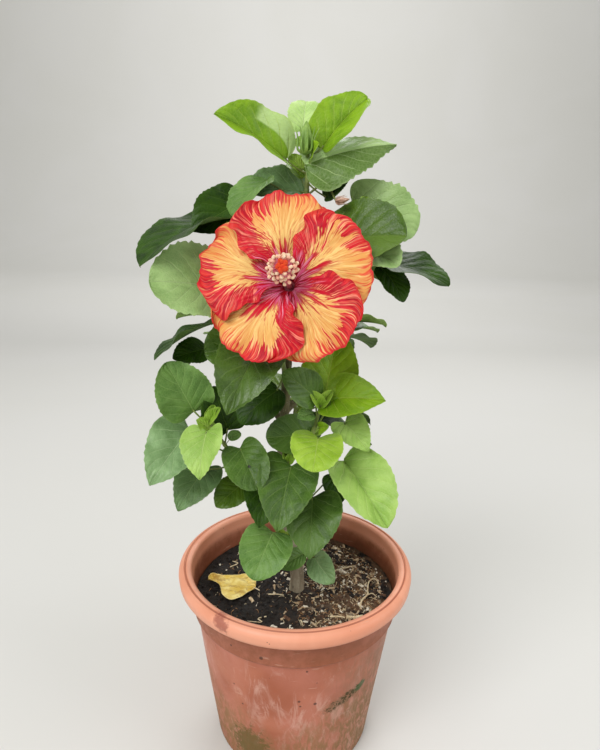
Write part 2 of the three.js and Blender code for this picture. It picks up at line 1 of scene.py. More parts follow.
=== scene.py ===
# %% [markdown]
# A potted hibiscus shrub, dressed in Blender.
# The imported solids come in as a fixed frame: pot, soil, stem, boughs, masses of foliage and one open bloom.
# Each cell below takes one thing of the real plant, says what it is and how it could be made, and then makes
# it in place. Lengths of the plant are written in millimetres, as in the part's source, and turned to metres
# when they reach a mesh.

import math

import bpy
import numpy as np
from mathutils import Matrix, Vector, noise
from mathutils.bvhtree import BVHTree


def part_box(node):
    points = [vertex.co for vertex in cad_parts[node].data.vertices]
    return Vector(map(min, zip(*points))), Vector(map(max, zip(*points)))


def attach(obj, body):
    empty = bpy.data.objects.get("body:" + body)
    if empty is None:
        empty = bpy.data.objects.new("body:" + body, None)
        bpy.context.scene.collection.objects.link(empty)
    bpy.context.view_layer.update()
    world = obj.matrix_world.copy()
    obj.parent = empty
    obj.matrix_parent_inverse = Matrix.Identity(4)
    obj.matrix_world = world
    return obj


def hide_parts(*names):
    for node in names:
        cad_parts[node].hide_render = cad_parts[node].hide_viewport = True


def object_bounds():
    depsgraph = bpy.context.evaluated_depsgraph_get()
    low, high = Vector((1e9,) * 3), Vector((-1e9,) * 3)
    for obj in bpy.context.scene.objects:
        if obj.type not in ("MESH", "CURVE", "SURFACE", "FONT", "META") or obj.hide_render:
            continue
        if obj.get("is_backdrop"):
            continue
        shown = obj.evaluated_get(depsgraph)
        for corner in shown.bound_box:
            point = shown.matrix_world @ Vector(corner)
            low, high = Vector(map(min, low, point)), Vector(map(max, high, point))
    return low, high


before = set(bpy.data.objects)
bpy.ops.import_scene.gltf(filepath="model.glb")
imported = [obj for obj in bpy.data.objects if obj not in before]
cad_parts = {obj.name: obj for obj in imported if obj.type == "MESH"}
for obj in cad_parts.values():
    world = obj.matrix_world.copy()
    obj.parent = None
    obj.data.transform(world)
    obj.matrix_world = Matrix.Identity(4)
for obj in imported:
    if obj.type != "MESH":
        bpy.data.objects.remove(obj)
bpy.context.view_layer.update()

# %% [markdown]
# Blender's operators act on whatever is selected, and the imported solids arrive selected. So every step starts
# from a clean selection. These few helpers keep the rest of the lesson short: pick one object, apply one
# modifier, join several objects, and read or write all the points of a mesh at once.

# %% Helpers for objects
MM = 0.001


def take(*things):
    bpy.ops.object.select_all(action="DESELECT")
    for thing in things:
        thing.select_set(True)
    bpy.context.view_layer.objects.active = things[0]


def newest(name):
    made = bpy.context.object
    made.name = made.data.name = name
    return made


def primitive(add, name, **settings):
    """What the given operator adds, selected on its own."""
    bpy.ops.object.select_all(action="DESELECT")
    add(**settings)
    return newest(name)


def mode(name):
    bpy.ops.object.mode_set(mode=name)


def apply_modifier(thing, kind, **settings):
    take(thing)
    modifier = thing.modifiers.new("shape", kind)
    for key, value in settings.items():
        setattr(modifier, key, value)
    bpy.ops.object.modifier_apply(modifier=modifier.name)


def joined(name, things):
    take(*things)
    if len(things) > 1:
        bpy.ops.object.join()
    return newest(name)


def copy_of(thing, name):
    made = thing.copy()
    made.data = thing.data.copy()
    bpy.context.collection.objects.link(made)
    made.name = name
    return made


def points_of(thing):
    flat = np.empty(len(thing.data.vertices) * 3)
    thing.data.vertices.foreach_get("co", flat)
    return flat.reshape(-1, 3)


def put_points(thing, points):
    thing.data.vertices.foreach_set("co", np.ascontiguousarray(points, float).ravel())
    thing.data.update()


def put_map(thing, name, across, along):
    """Fills a UV map from one pair of numbers for each point of the mesh."""
    corners = np.empty(len(thing.data.loops), int)
    thing.data.loops.foreach_get("vertex_index", corners)
    pairs = np.stack([across, along], 1)[corners]
    thing.data.uv_layers[name].uv.foreach_set("vector", pairs.astype(np.float32).ravel())


def wear(thing, *materials):
    thing.data.materials.clear()
    for material in materials:
        thing.data.materials.append(material)


def smooth(thing, angle=50):
    take(thing)
    bpy.ops.object.shade_smooth_by_angle(angle=math.radians(angle))


pieces = []


def finished(thing, slot, *nodes):
    thing.data.validate()
    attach(thing, "root")
    if nodes:
        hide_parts(*nodes)
    thing.data.calc_loop_triangles()
    pieces.append((thing.name, len(thing.data.loop_triangles)))
    print("piece", thing.name, "triangles", pieces[-1][1])

# %% [markdown]
# Vectors and random numbers. The part's source grows its leaves with a small repeatable run of numbers, so the
# same run is written again here, number for number: the leaves then stand where the solids have them.
# Blender's vector noise starts from the clock unless it is given a seed, so it is given one here.

# %% Helpers for vectors and chance
TO_VIEWER = (0, -0.8, 0.6)


def unit(v):
    v = np.asarray(v, float)
    return v / np.linalg.norm(v)


def direction(bearing, rise):
    b, r = math.radians(bearing), math.radians(rise)
    return np.array([math.cos(r) * math.cos(b), math.cos(r) * math.sin(b), math.sin(r)])


def mix(a, b, share):
    return a + (b - a) * share


def turned_about(v, axis, angle):
    c, s = math.cos(angle), math.sin(angle)
    return v * c + np.cross(axis, v) * s + axis * (axis @ v) * (1 - c)


def dice(seed):
    state = seed

    def roll():
        nonlocal state
        state = state * 16807 % 2147483647
        return state / 2147483647

    return roll


noise.seed_set(11)
print("dice 11 starts", round(dice(11)(), 6))

# %% [markdown]
# Materials are node trees. A Field stands for whatever one node works out, so that a mask is written as plain
# arithmetic: each plus or times adds one Math node. A few helpers add the other kinds of node: a mix of two
# colours, a soft threshold, noise, dots. A colour is written as a person reads it on a screen, 0 to 255, and
# turned into the linear light that the renderer counts in.

# %% Helpers for materials
def rgb(r, g, b):
    def linear(c):
        c /= 255
        return c / 12.92 if c <= 0.04045 else ((c + 0.055) / 1.055) ** 2.4

    return (linear(r), linear(g), linear(b), 1)


class Field:
    """A number, colour or place that nodes work out. A sum of fields is written as a plain sum."""

    def __init__(self, socket):
        self.socket, self.tree = socket, socket.id_data

    def math(self, operation, *others):
        return Field(node(self.tree, "Math", dict(enumerate((self, *others))), operation=operation).outputs[0])

    def __add__(self, other):
        return self.math("ADD", other)

    def __sub__(self, other):
        return self.math("SUBTRACT", other)

    def __mul__(self, other):
        return self.math("MULTIPLY", other)

    def __truediv__(self, other):
        return self.math("DIVIDE", other)

    def __pow__(self, other):
        return self.math("POWER", other)

    def __abs__(self):
        return self.math("ABSOLUTE")


def node(tree, kind, inputs=None, **settings):
    made = tree.nodes.new("ShaderNode" + kind)
    for key, value in settings.items():
        setattr(made, key, value)
    for key, value in (inputs or {}).items():
        if isinstance(value, Field):
            tree.links.new(value.socket, made.inputs[key])
        else:
            made.inputs[key].default_value = value
    return made


def larger(a, b):
    return a.math("MAXIMUM", b)


def blended(share, a, b):
    return Field(node(share.tree, "Mix", {0: share, 6: a, 7: b}, data_type="RGBA").outputs[2])


def between(value, low, high):
    """0 below low, 1 above high, and a soft step in between. It runs downhill where low is above high."""
    ends = (1.0, 0.0) if low > high else (0.0, 1.0)
    made = node(value.tree, "MapRange", {"Value": value, "From Min": min(low, high), "From Max": max(low, high),
                                         "To Min": ends[0], "To Max": ends[1]}, interpolation_type="SMOOTHSTEP")
    return Field(made.outputs["Result"])


def grain(place, scale, detail=3.0, roughness=0.55, distortion=0.0):
    made = node(place.tree, "TexNoise", {"Vector": place, "Scale": scale, "Detail": detail, "Roughness": roughness,
                                         "Distortion": distortion})
    return Field(made.outputs["Fac"])


def from_dots(place, scale, feature="F1"):
    """How far a place is from the nearest of many dots, or from the edge of its cell."""
    made = node(place.tree, "TexVoronoi", {"Vector": place, "Scale": scale}, feature=feature)
    return Field(made.outputs["Distance"])


def stretched(place, scale, turn=(0, 0, 0)):
    return Field(node(place.tree, "Mapping", {"Vector": place, "Scale": scale, "Rotation": turn}).outputs[0])


def xyz(place):
    return [Field(socket) for socket in node(place.tree, "SeparateXYZ", {0: place}).outputs]


def uv_map(tree, name):
    return Field(node(tree, "UVMap", uv_map=name).outputs[0])


def new_group(name, takes, gives):
    """An empty shared effect, the fields that come into it, and the node that its results leave by."""
    group = bpy.data.node_groups.new(name, "ShaderNodeTree")
    for way, sockets in (("INPUT", takes), ("OUTPUT", gives)):
        for label, kind in sockets.items():
            group.interface.new_socket(label, in_out=way, socket_type="NodeSocket" + kind)
    taken = {socket.name: Field(socket) for socket in group.nodes.new("NodeGroupInput").outputs}
    return group, taken, group.nodes.new("NodeGroupOutput")


def give(way_out, **fields):
    for label, field in fields.items():
        field.tree.links.new(field.socket, way_out.inputs[label])


def placed(tree, group, **inputs):
    """A shared effect in a material, with its own values; gives back its results by name."""
    return {socket.name: Field(socket) for socket in node(tree, "Group", inputs, node_tree=group).outputs}

# %% [markdown]
# Two effects come back on almost every surface here. Living and weathered things are never one even tone, so
# "mottle" gives broad and fine patches between 0 and 1. Marks that have a place, such as a stain on the pot,
# are soft blots: "blot" measures how far a point is from the mark's middle, and frays its edge with noise.
# A Look gathers one material: coats of colour are laid over one another as a painter would, and then it is
# finished with its roughness and its relief.

# %% Shared effects: mottle and blot
mottle, takes, way_out = new_group("mottle", dict(Place="Vector", Scale="Float"), dict(Broad="Float", Fine="Float"))
give(way_out, Broad=between(grain(takes["Place"], takes["Scale"], 2.5, 0.5, 0.6), 0.32, 0.68),
     Fine=between(grain(takes["Place"], takes["Scale"] * 6.0, 4.0, 0.65), 0.3, 0.7))

blot, takes, way_out = new_group(
    "blot", dict(Place="Vector", Middle="Vector", Spread="Vector", Turn="Vector", Fray="Float"), dict(Mark="Float"))
away = node(blot, "VectorMath", {0: takes["Place"], 1: takes["Middle"]}, operation="SUBTRACT").outputs[0]
away = node(blot, "VectorRotate", {"Vector": Field(away), "Rotation": takes["Turn"]}, rotation_type="EULER_XYZ")
away = node(blot, "VectorMath", {0: Field(away.outputs[0]), 1: takes["Spread"]}, operation="DIVIDE").outputs[0]
far = Field(node(blot, "VectorMath", {0: Field(away)}, operation="LENGTH").outputs["Value"])
give(way_out, Mark=between(far + (grain(takes["Place"], 170.0, 5.0, 0.7) - 0.5) * takes["Fray"], 1.0, 0.55))


class Look:
    """A material in the making: its patches, and the coats of colour laid over one another."""

    def __init__(self, name, roughness=0.5, patch=None, gloss=0.5):
        self.material = bpy.data.materials.new(name)
        self.material.use_nodes = True
        self.tree = self.material.node_tree
        self.skin = self.tree.nodes["Principled BSDF"].inputs
        self.skin["Roughness"].default_value = roughness
        self.skin["Specular IOR Level"].default_value = gloss
        if patch:
            self.place = Field(node(self.tree, "TexCoord").outputs["Object"])
            patches = placed(self.tree, mottle, Place=self.place, Scale=patch)
            self.broad, self.fine = patches["Broad"], patches["Fine"]

    def lay(self, coat, share=None, strength=1.0):
        """Lays a coat over what is there, where the share says, or as the first coat."""
        if share:
            coat = blended(share if strength == 1 else share * strength, self.coat, coat)
        self.coat = coat

    def mark(self, middle, spread, fray, turn=(0, 0, 0)):
        return placed(self.tree, blot, Place=self.place, Middle=middle, Spread=spread, Turn=turn, Fray=fray)["Mark"]

    def finish(self, rough=None, height=None, depth=0.0, strength=1.0):
        self.tree.links.new(self.coat.socket, self.skin["Base Color"])
        if rough:
            self.tree.links.new(rough.socket, self.skin["Roughness"])
        if height:
            bump = node(self.tree, "Bump", {"Height": height, "Distance": depth, "Strength": strength})
            self.tree.links.new(bump.outputs["Normal"], self.skin["Normal"])
        return self.material


def plain_look(name, dark, light, roughness, patch, depth, strength=0.8, fleck=None):
    """Two close tones in patches, with a little relief. A third tone in flecks also breaks up the gloss."""
    look = Look(name, roughness, patch)
    look.lay(blended(look.broad, dark, light))
    if fleck:
        look.lay(fleck, look.fine, 0.3)
    return look.finish(look.fine * 0.15 + 0.42 if fleck else None, look.fine, depth, strength)


print("shared effects:", mottle.name, blot.name)

# %% [markdown]
# The camera stands where the photograph was taken: 0.69 m in front of the pot's axis and 0.44 m above its rim,
# looking down 15.7 degrees, with the roll of a hand-held shot. The lens gives 600 pixels of focal length in a
# picture 750 pixels high, which on Blender's 36 mm sensor is 28.8 mm.

# %% Camera
LOOK_DOWN, ROLL = 15.7, 1.15  # degrees
SENSOR, FOCAL_LENGTH, LONG_SIDE = 36.0, 600, 750  # millimetres, then pixels of the photograph
bpy.ops.object.camera_add(location=(0.0012, -0.691, 0.688))
camera = bpy.context.object
camera.name = "camera"
camera.matrix_world = (Matrix.Translation(camera.location)
                       @ Matrix.Rotation(math.radians(90 - LOOK_DOWN), 4, "X")
                       @ Matrix.Rotation(math.radians(ROLL), 4, "Z"))
camera.data.sensor_fit = "AUTO"
camera.data.sensor_width = SENSOR
camera.data.lens = SENSOR * FOCAL_LENGTH / LONG_SIDE
camera.data.clip_start = 0.01
bpy.context.scene.camera = camera
print("camera at", tuple(round(v, 3) for v in camera.location), "lens", camera.data.lens)

# %% [markdown]
# The set is a plain pale floor that sweeps up into a wall far behind, so no horizon shows. A broad soft light
# stands high on the left in front, a weaker one on the right, one behind rims the leaves and one lights the
# sweep. That is close to soft and even daylight, in which nothing throws a hard shadow. The standard
# view keeps strong reds and oranges as strong as they are.

# %% Floor and light
SWEEP_START, SWEEP_RADIUS, HALVINGS = 3.6, 2.4, 6
floor = primitive(bpy.ops.mesh.primitive_plane_add, "floor", size=16, location=(0, 2, -0.0004))
mode("EDIT")
bpy.ops.mesh.select_all(action="SELECT")
for _ in range(HALVINGS):
    bpy.ops.mesh.subdivide(number_cuts=1)
mode("OBJECT")
places = points_of(floor)
places[:, 1] += 2
past = np.clip(places[:, 1] - SWEEP_START, 0, None)
turn = np.minimum(past / SWEEP_RADIUS, math.pi / 2)
places[:, 1] = np.where(past > 0, SWEEP_START + SWEEP_RADIUS * np.sin(turn), places[:, 1])
places[:, 2] += SWEEP_RADIUS * (1 - np.cos(turn)) + np.clip(past - SWEEP_RADIUS * math.pi / 2, 0, None)
put_points(floor, places)
smooth(floor, 60)
look = Look("pale_floor", 0.8, 0.9)
look.lay(blended(look.broad, rgb(212, 211, 207), rgb(214, 213, 210)))
wear(floor, look.finish())
floor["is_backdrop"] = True

world = bpy.data.worlds.new("pale_sky")
world.use_nodes = True
world.node_tree.nodes["Background"].inputs["Color"].default_value = rgb(234, 234, 230)
world.node_tree.nodes["Background"].inputs["Strength"].default_value = 0.62
bpy.context.scene.world = world
bpy.context.scene.view_settings.view_transform = "Standard"

for name, place, size, power in (("key", (-1.3, -1.9, 2.4), 1.8, 68), ("side", (2.2, -0.7, 1.5), 1.6, 20),
                                 ("back", (0.4, 2.2, 2.3), 1.8, 30), ("sweep", (0, 3.0, 3.6), 3.0, 150)):
    bpy.ops.object.light_add(type="AREA", location=place)
    lamp = bpy.context.object
    lamp.name = name
    lamp.data.size = size
    lamp.data.energy = power
    aim = Vector((0, 6, 3.0)) if name == "sweep" else Vector((0, 0, 0.45))
    lamp.rotation_euler = (aim - Vector(place)).to_track_quat("-Z", "Y").to_euler()
    print("light", name, power, "W")

# %% [markdown]
# Turned forms. A pot is a body of revolution: its wall is drawn once, as a line from the middle of the floor,
# out, up, over the rim and down again inside, and that line is spun about the vertical axis. The line starts
# as one corner of a plane, and each further point is an extrusion from the one before it. Spinning leaves
# doubled points at the seam and at the axis, so they are merged before the normals are set outwards.

# %% Helper: a turned form
def turned(name, profile, steps):
    r, z = profile[0]
    made = primitive(bpy.ops.mesh.primitive_plane_add, name, size=0.001, location=(r * MM, 0, z * MM))
    bpy.ops.object.transform_apply(location=True, rotation=True, scale=True)
    mode("EDIT")
    bpy.ops.mesh.merge(type="CENTER")
    for (r0, z0), (r1, z1) in zip(profile, profile[1:]):
        bpy.ops.mesh.extrude_region_move(TRANSFORM_OT_translate={"value": ((r1 - r0) * MM, 0, (z1 - z0) * MM)})
    bpy.ops.mesh.select_all(action="SELECT")
    bpy.ops.mesh.spin(steps=steps, angle=2 * math.pi, center=(0, 0, 0), axis=(0, 0, 1))
    bpy.ops.mesh.select_all(action="SELECT")
    bpy.ops.mesh.remove_doubles(threshold=1e-5)
    bpy.ops.mesh.normals_make_consistent(inside=False)
    mode("OBJECT")
    return made


def along_line(profile, step):
    """The same line with a point at least every step millimetres."""
    out = [profile[0]]
    for a, b in zip(profile, profile[1:]):
        parts = max(1, math.ceil(math.dist(a, b) / step))
        out += [(mix(a[0], b[0], k / parts), mix(a[1], b[1], k / parts)) for k in range(1, parts + 1)]
    return out


# %% [markdown]
# The pot is moulded in a terracotta-coloured plastic. Its sizes are the source's: 300 mm over a rolled rim,
# 245 mm high, a collar under the rim that ends in a small step, and a tapered wall. The render comes close
# enough to show that the roll has a shallow groove near its inner edge, a soft foot and a slightly uneven wall,
# so the profile gets those, and the spun mesh is pushed in and out by a fraction of a millimetre.

# %% The pot's shape
POT_HEIGHT, RIM_RADIUS, MOUTH_RADIUS, RIM_DEPTH = 245, 150, 133, 19
COLLAR_RADIUS, COLLAR_DEPTH, COLLAR_STEP = 131.5, 57, 2.5
FOOT_RADIUS, WALL, FLOOR_THICKNESS = 103, 3.2, 5
SOIL_LEVEL = 206
wall_slope = (COLLAR_RADIUS - COLLAR_STEP - FOOT_RADIUS) / (POT_HEIGHT - COLLAR_DEPTH)


def inner_radius(z):
    return FOOT_RADIUS + wall_slope * z - WALL


step_height = POT_HEIGHT - COLLAR_DEPTH
rim_under = POT_HEIGHT - RIM_DEPTH


def offset(radius, height, *steps):
    """Points of the profile, given as steps from one radius and one height."""
    return [(radius + r, height + z) for r, z in steps]


outside = [(0, 1.2)] + offset(FOOT_RADIUS, 0, (-14, 1.2), (-11, 0), (-3, 0), (-0.8, 0.8), (0, 3))
outside += offset(COLLAR_RADIUS - COLLAR_STEP, step_height, (-0.6, -1.0), (-0.7, 0.5))
outside += offset(COLLAR_RADIUS, step_height, (0.3, 0.6), (0.8, 1.8), (0.3, 3.4))
outside += offset(COLLAR_RADIUS, rim_under, (0.2, -3), (0.6, 2.6))
outside += offset(RIM_RADIUS, rim_under, (-5, 1.2), (-4, 0), (-2.2, 0.4), (-0.9, 2.5))
roll_middle = (RIM_RADIUS + MOUTH_RADIUS) / 2
roll_reach = (RIM_RADIUS - MOUTH_RADIUS) / 2
roll = [(roll_middle + roll_reach * math.cos(a), POT_HEIGHT - roll_reach * (1 - math.sin(a)))
        for a in np.linspace(0, 0.42 * math.pi, 10)]
groove = offset(roll_middle, POT_HEIGHT, (1.7, -1.3), (1.0, -1.7), (0.3, -1.2), (-0.5, -0.5), (-2.2, -0.3),
                (-4.2, -0.6), (-6.4, -1.5), (-7.7, -2.8), (-8.3, -5.0))
inside = [(MOUTH_RADIUS, POT_HEIGHT - 9)] + offset(MOUTH_RADIUS, rim_under, (-0.9, 2), (-1.6, -2))
inside += [(inner_radius(SOIL_LEVEL), SOIL_LEVEL - 14), (inner_radius(0), FLOOR_THICKNESS + 2),
           (inner_radius(0) - 3, FLOOR_THICKNESS), (0, FLOOR_THICKNESS)]
pot = turned("pot_wall", along_line(outside + roll + groove + inside, 9), 144)
print("pot profile points", len(outside + roll + groove + inside))

# %% [markdown]
# Six drain holes go through the floor. A cylinder is modelled once and copied round a circle, the copies are
# joined, and one Boolean cuts them all.

# %% Drain holes and the wall's unevenness
HOLES, HOLE_RADIUS, HOLE_CIRCLE = 6, 6, 62
drill = primitive(bpy.ops.mesh.primitive_cylinder_add, "drill", vertices=24, radius=HOLE_RADIUS * MM, depth=20 * MM)
drills = []
for k in range(HOLES):
    one = copy_of(drill, "drill_copy")
    angle = math.tau * k / HOLES
    one.data.transform(Matrix.Translation(Vector((math.cos(angle), math.sin(angle), 0)) * HOLE_CIRCLE * MM))
    drills.append(one)
bpy.data.objects.remove(drill)
drill = joined("drills", drills)
apply_modifier(pot, "BOOLEAN", object=drill, operation="DIFFERENCE", solver="EXACT")
bpy.data.objects.remove(drill)

places = points_of(pot)
radius = np.hypot(places[:, 0], places[:, 1])
pushed = np.array([noise.noise(Vector(p) * 9.0) * 0.7 + noise.noise(Vector(p) * 34.0) * 0.22 for p in places])
share = np.clip(places[:, 2] / (POT_HEIGHT * MM), 0, 1)
pushed *= (radius > 0.095) * MM * (0.25 + 0.75 * np.sin(math.pi * share))
places[:, :2] *= (1 + pushed / np.maximum(radius, 0.05))[:, None]
put_points(pot, places)
smooth(pot, 40)

# %% [markdown]
# The plastic is a faded salmon terracotta. It is smoother on the rim and chalky lower down. The rim and the top of
# the collar get a painted highlight, paler where the light from above falls. Painted shade, with a little dust,
# darkens the collar under the rim and a thin line in the crease of its step, and painted shade also lies in the rim's
# groove and on the inner wall above the soil, most on the right. On the wall there are pale wiped swirls, dark specks
# of splashed soil, a diagonal streak of green algae, a darker, browner right side, a mossy patch at the foot on the
# left, and a dirty yellow film along the bottom. Every mark is a mask laid over the plastic, placed on Object
# coordinates, so it stays put in all views. Dirt is rougher than plastic, so the masks feed the roughness too.

# %% The pot's material
look = Look("faded_terracotta_plastic", patch=16.0, gloss=0.4)
place, broad, fine = look.place, look.broad, look.fine
x, y, height = xyz(place)
from_axis = (x * x + y * y).math("SQRT")
look.lay(blended(broad, rgb(164, 90, 62), rgb(182, 108, 80)))
look.lay(rgb(192, 120, 102), between(grain(place, 9.0, 2.0), 0.42, 0.62), 0.5)
# Painted highlight: the rim and the top of the collar are paler, where the light from above falls on them.
look.lay(blended(broad, rgb(224, 148, 116), rgb(232, 162, 132)), between(height, 0.214, 0.232))
# Painted shade with a little dust on the collar, under the rim's overhang.
shadow_dust = between(height, 0.186, 0.189) * between(height, 0.231, 0.222)
look.lay(rgb(132, 76, 48), shadow_dust * (fine * 0.35 + 0.5))
# Painted shade, with some dirt: a thin dark line in the crease under the collar's step.
look.lay(rgb(84, 46, 30), between(height, 0.1860, 0.1872) * between(height, 0.1893, 0.1886), 0.75)
# Painted shade: a darker line in the groove near the roll's inner edge.
rim_groove_shade = between(from_axis, 0.1404, 0.1411) * between(from_axis, 0.1427, 0.1420) * between(height, 0.238, 0.241)
look.lay(rgb(150, 84, 60), rim_groove_shade, 0.75)
# Painted shade, with a little dust, on the inner wall above the soil, stronger on the right.
inner_wall_shade = between(from_axis, 0.1314, 0.1300) * between(height, 0.187, 0.19)
look.lay(rgb(92, 56, 34), inner_wall_shade * (between(x, -0.02, 0.1) * 0.45 + 0.1))
swirls = between(grain(stretched(place, (1.0, 1.0, 0.45), (0.3, 0.5, 0.2)), 30.0, 5.0, 0.7, 1.3), 0.49, 0.68)
swirls = swirls * between(grain(place, 11.0, 2.0), 0.38, 0.56) * between(height, 0.2, 0.15)
look.lay(rgb(216, 172, 156), swirls, 0.65)
washed = between(grain(stretched(place, (60.0, 60.0, 16.0), (0.2, -0.7, 0)), 1.0, 4.0, 0.7, 1.2), 0.5, 0.66)
washed = washed * between(grain(place, 14.0, 2.0), 0.42, 0.62) * between(height, 0.19, 0.15)
look.lay(rgb(212, 166, 150), washed, 0.5)
scratches = between(grain(stretched(place, (22.0, 22.0, 150.0), (0.5, 0.35, 0)), 1.0, 3.0, 0.6), 0.66, 0.72)
look.lay(rgb(214, 170, 148), scratches, 0.3)

# Dirt: the film along the foot, moss, the streak with its clump, small spots and a stain.
# The right side of the wall is also darker and browner.
film_edge = height + grain(place, 22.0, 4.0, 0.7) * -0.16 + abs(x + 0.02) * -0.55
wiped = between(grain(stretched(place, (180.0, 60.0, 60.0), (0, 0.9, 0)), 1.0, 3.0, 0.6, 0.8), 0.36, 0.6)
film = between(film_edge, 0.02, -0.085) * (wiped * 0.75 + 0.25)
look.lay(rgb(134, 106, 66), film, 0.8)
# The right side of the wall, below the collar, turns darker and browner.
right_side_darker = between(x, 0.02, 0.1) * between(height, 0.2, 0.16) * (wiped * 0.5 + 0.25)
look.lay(rgb(112, 88, 54), right_side_darker, 0.7)
moss = look.mark((-0.050, -0.098, 0.040), (0.030, 0.050, 0.036), 2.2)
look.lay(rgb(98, 84, 36), moss, 0.8)
look.lay(rgb(86, 72, 38), look.mark((-0.020, -0.104, 0.010), (0.060, 0.05, 0.016), 1.8), 0.6)
streak = look.mark((0.062, -0.105, 0.1190), (0.033, 0.06, 0.0098), 1.6, (0, 0.42, 0))
look.lay(rgb(112, 84, 48), streak, 0.6)
crumbs = larger(between(from_dots(place, 175.0), 0.5, 0.36), between(grain(place, 480.0, 3.0), 0.52, 0.58)) * streak
look.lay(rgb(70, 58, 26), crumbs, 0.9)
look.lay(rgb(58, 78, 22), look.mark((0.082, -0.088, 0.1270), (0.0100, 0.05, 0.0062), 0.9, (0, 0.75, 0)), 0.9)
SPOTS = (((0.0077, -0.121, 0.1320), 0.0022), ((0.0092, -0.120, 0.1240), 0.0017), ((0.0266, -0.1174, 0.1261), 0.0026),
         ((0.0159, -0.127, 0.1796), 0.0018), ((-0.0362, -0.126, 0.1970), 0.0026), ((-0.072, -0.110, 0.1999), 0.0014),
         ((-0.0705, -0.099, 0.1353), 0.0014), ((-0.060, -0.101, 0.1086), 0.0015))
for middle, spread in SPOTS:
    look.lay(rgb(66, 36, 24), look.mark(middle, (spread, 0.02, spread), 0.7), 0.8)
look.lay(rgb(146, 74, 60), look.mark((-0.079, -0.118, 0.2380), (0.0145, 0.02, 0.0095), 1.3, (0, -0.4, 0)), 0.75)
specks = between(from_dots(place, 95.0), 0.1, 0.05) * between(grain(place, 30.0, 2.0), 0.55, 0.62)
look.lay(rgb(74, 48, 36), specks, 0.8)
dirt = larger(larger(moss, crumbs), film)
rough = fine * 0.12 + 0.4 + larger(dirt, swirls) * 0.3
wear(pot, look.finish(rough, fine * 0.3 + dirt + scratches * -0.6, 0.0004, 0.6))
finished(pot, "pot", "pot")
print("pot reaches", [round(v, 4) for v in points_of(pot).max(0)])

# %% [markdown]
# The root ball is dark potting mix. Only its top shows, but it is a closed body that fills the pot, turned like
# the pot with many rings near the top. A height function pushes the top into clods and hollows, with a low
# mound where the stem comes out. The litter that lies on it later asks the same function how high the soil is.

# %% The soil's shape
STEM_X, STEM_Y = 2.5, -9


def soil_height(x, y):
    """How far the top stands above the soil level at x, y, all in millimetres."""
    spot = Vector((x, y, 0))
    lumps = noise.fractal(spot / 21, 0.8, 2.2, 3) * 2.4
    lumps += noise.noise(spot / 5.2) * 1.5 + noise.noise(spot / 2.6) * 0.8
    mound = 1.6 * math.exp(-((x - STEM_X) ** 2 + (y - STEM_Y) ** 2) / 420)
    edge = max(0.0, (math.hypot(x, y) - 108) / 20)
    return lumps * (1 - 0.5 * min(edge, 1)) * 0.9 + mound - 1.6 * edge - 0.8


clear = [inner_radius(z) - 0.6 for z in (0, SOIL_LEVEL)]
soil_profile = [(0, 5.3), (clear[0] - 4, 5.3), (clear[0] - 0.5, 8), (clear[1] - 1.5, SOIL_LEVEL - 14),
                (clear[1], SOIL_LEVEL)]
soil_profile += [(r, SOIL_LEVEL) for r in np.linspace(clear[1] - 2, 2, 62)] + [(0, SOIL_LEVEL)]
soil = turned("soil_top", soil_profile, 200)
places = points_of(soil)
top = places[:, 2] > (SOIL_LEVEL - 0.5) * MM
places[top, 2] += np.array([soil_height(x / MM, y / MM) * MM for x, y in places[top, :2]])
put_points(soil, places)
smooth(soil, 60)

# %% [markdown]
# Damp mix is nearly black on the left and in the middle, and browner where the coarse fibre lies on the right.
# Its grain is finer than any mesh, so bumps of two sizes carry it, and it is quite rough.

# %% The soil's material
look = Look("damp_potting_mix", patch=40.0)
place, broad, fine = look.place, look.broad, look.fine
look.lay(blended(fine, rgb(11, 8, 6), rgb(40, 30, 23)))
look.lay(rgb(116, 86, 58), between(xyz(place)[0], -0.03, 0.09) * between(broad, 0.2, 0.8), 0.7)
flecks = between(from_dots(place, 420.0), 0.16, 0.1) * between(grain(place, 120.0, 2.0), 0.52, 0.6)
look.lay(rgb(150, 122, 92), flecks, 0.7)
soil_look = look.finish(fine * 0.25 + 0.68, grain(place, 420.0, 5.0, 0.75) + fine * 0.6, 0.0016, 0.9)
wear(soil, soil_look)
finished(soil, "soil", "soil")

# %% [markdown]
# Litter on the soil: dark clods everywhere, pale wood chips and white perlite that gather on the right and at
# the back, brown fibre, and a few dry sticks and roots. Each kind is modelled once from a cube: a bevelled cube
# is a clod, a flat long one cut into more faces is a chip. Copies are scaled, turned, roughened and sunk partly
# into the soil. Hundreds of copies stay light, because one clod has only a few dozen faces.

# %% Litter: models of one clod and one chip
def bevelled_cube(name, spans, bevel, cuts=0):
    made = primitive(bpy.ops.mesh.primitive_cube_add, name, size=1)
    mode("EDIT")
    bpy.ops.mesh.select_all(action="SELECT")
    if cuts:
        bpy.ops.mesh.subdivide(number_cuts=cuts, smoothness=0)
    else:
        bpy.ops.mesh.bevel(offset=bevel, segments=1, affect="EDGES")
    mode("OBJECT")
    made.data.transform(Matrix.Diagonal((*spans, 1)))
    return made


clod_model = bevelled_cube("clod", (1, 1, 0.8), 0.28)
chip_model = bevelled_cube("chip", (1, 0.36, 0.16), 0, cuts=2)
print("clod faces", len(clod_model.data.polygons), "chip faces", len(chip_model.data.polygons))

# %% [markdown]
# A scattering loop deals the pieces out. Each kind has its number, its range of sizes and how strongly it
# prefers the right-hand side. A piece that would fall on the stem or in the pot's wall is dealt again.

# %% Litter: scattering
def roughened(thing, seed, size, amount):
    places = points_of(thing)
    shifts = [noise.noise_vector(Vector(p) * 1.7 + Vector((seed * 3.1, seed * 1.7, seed))) for p in places]
    put_points(thing, places + np.array(shifts) * amount)
    thing.data.transform(Matrix.Scale(size, 4))


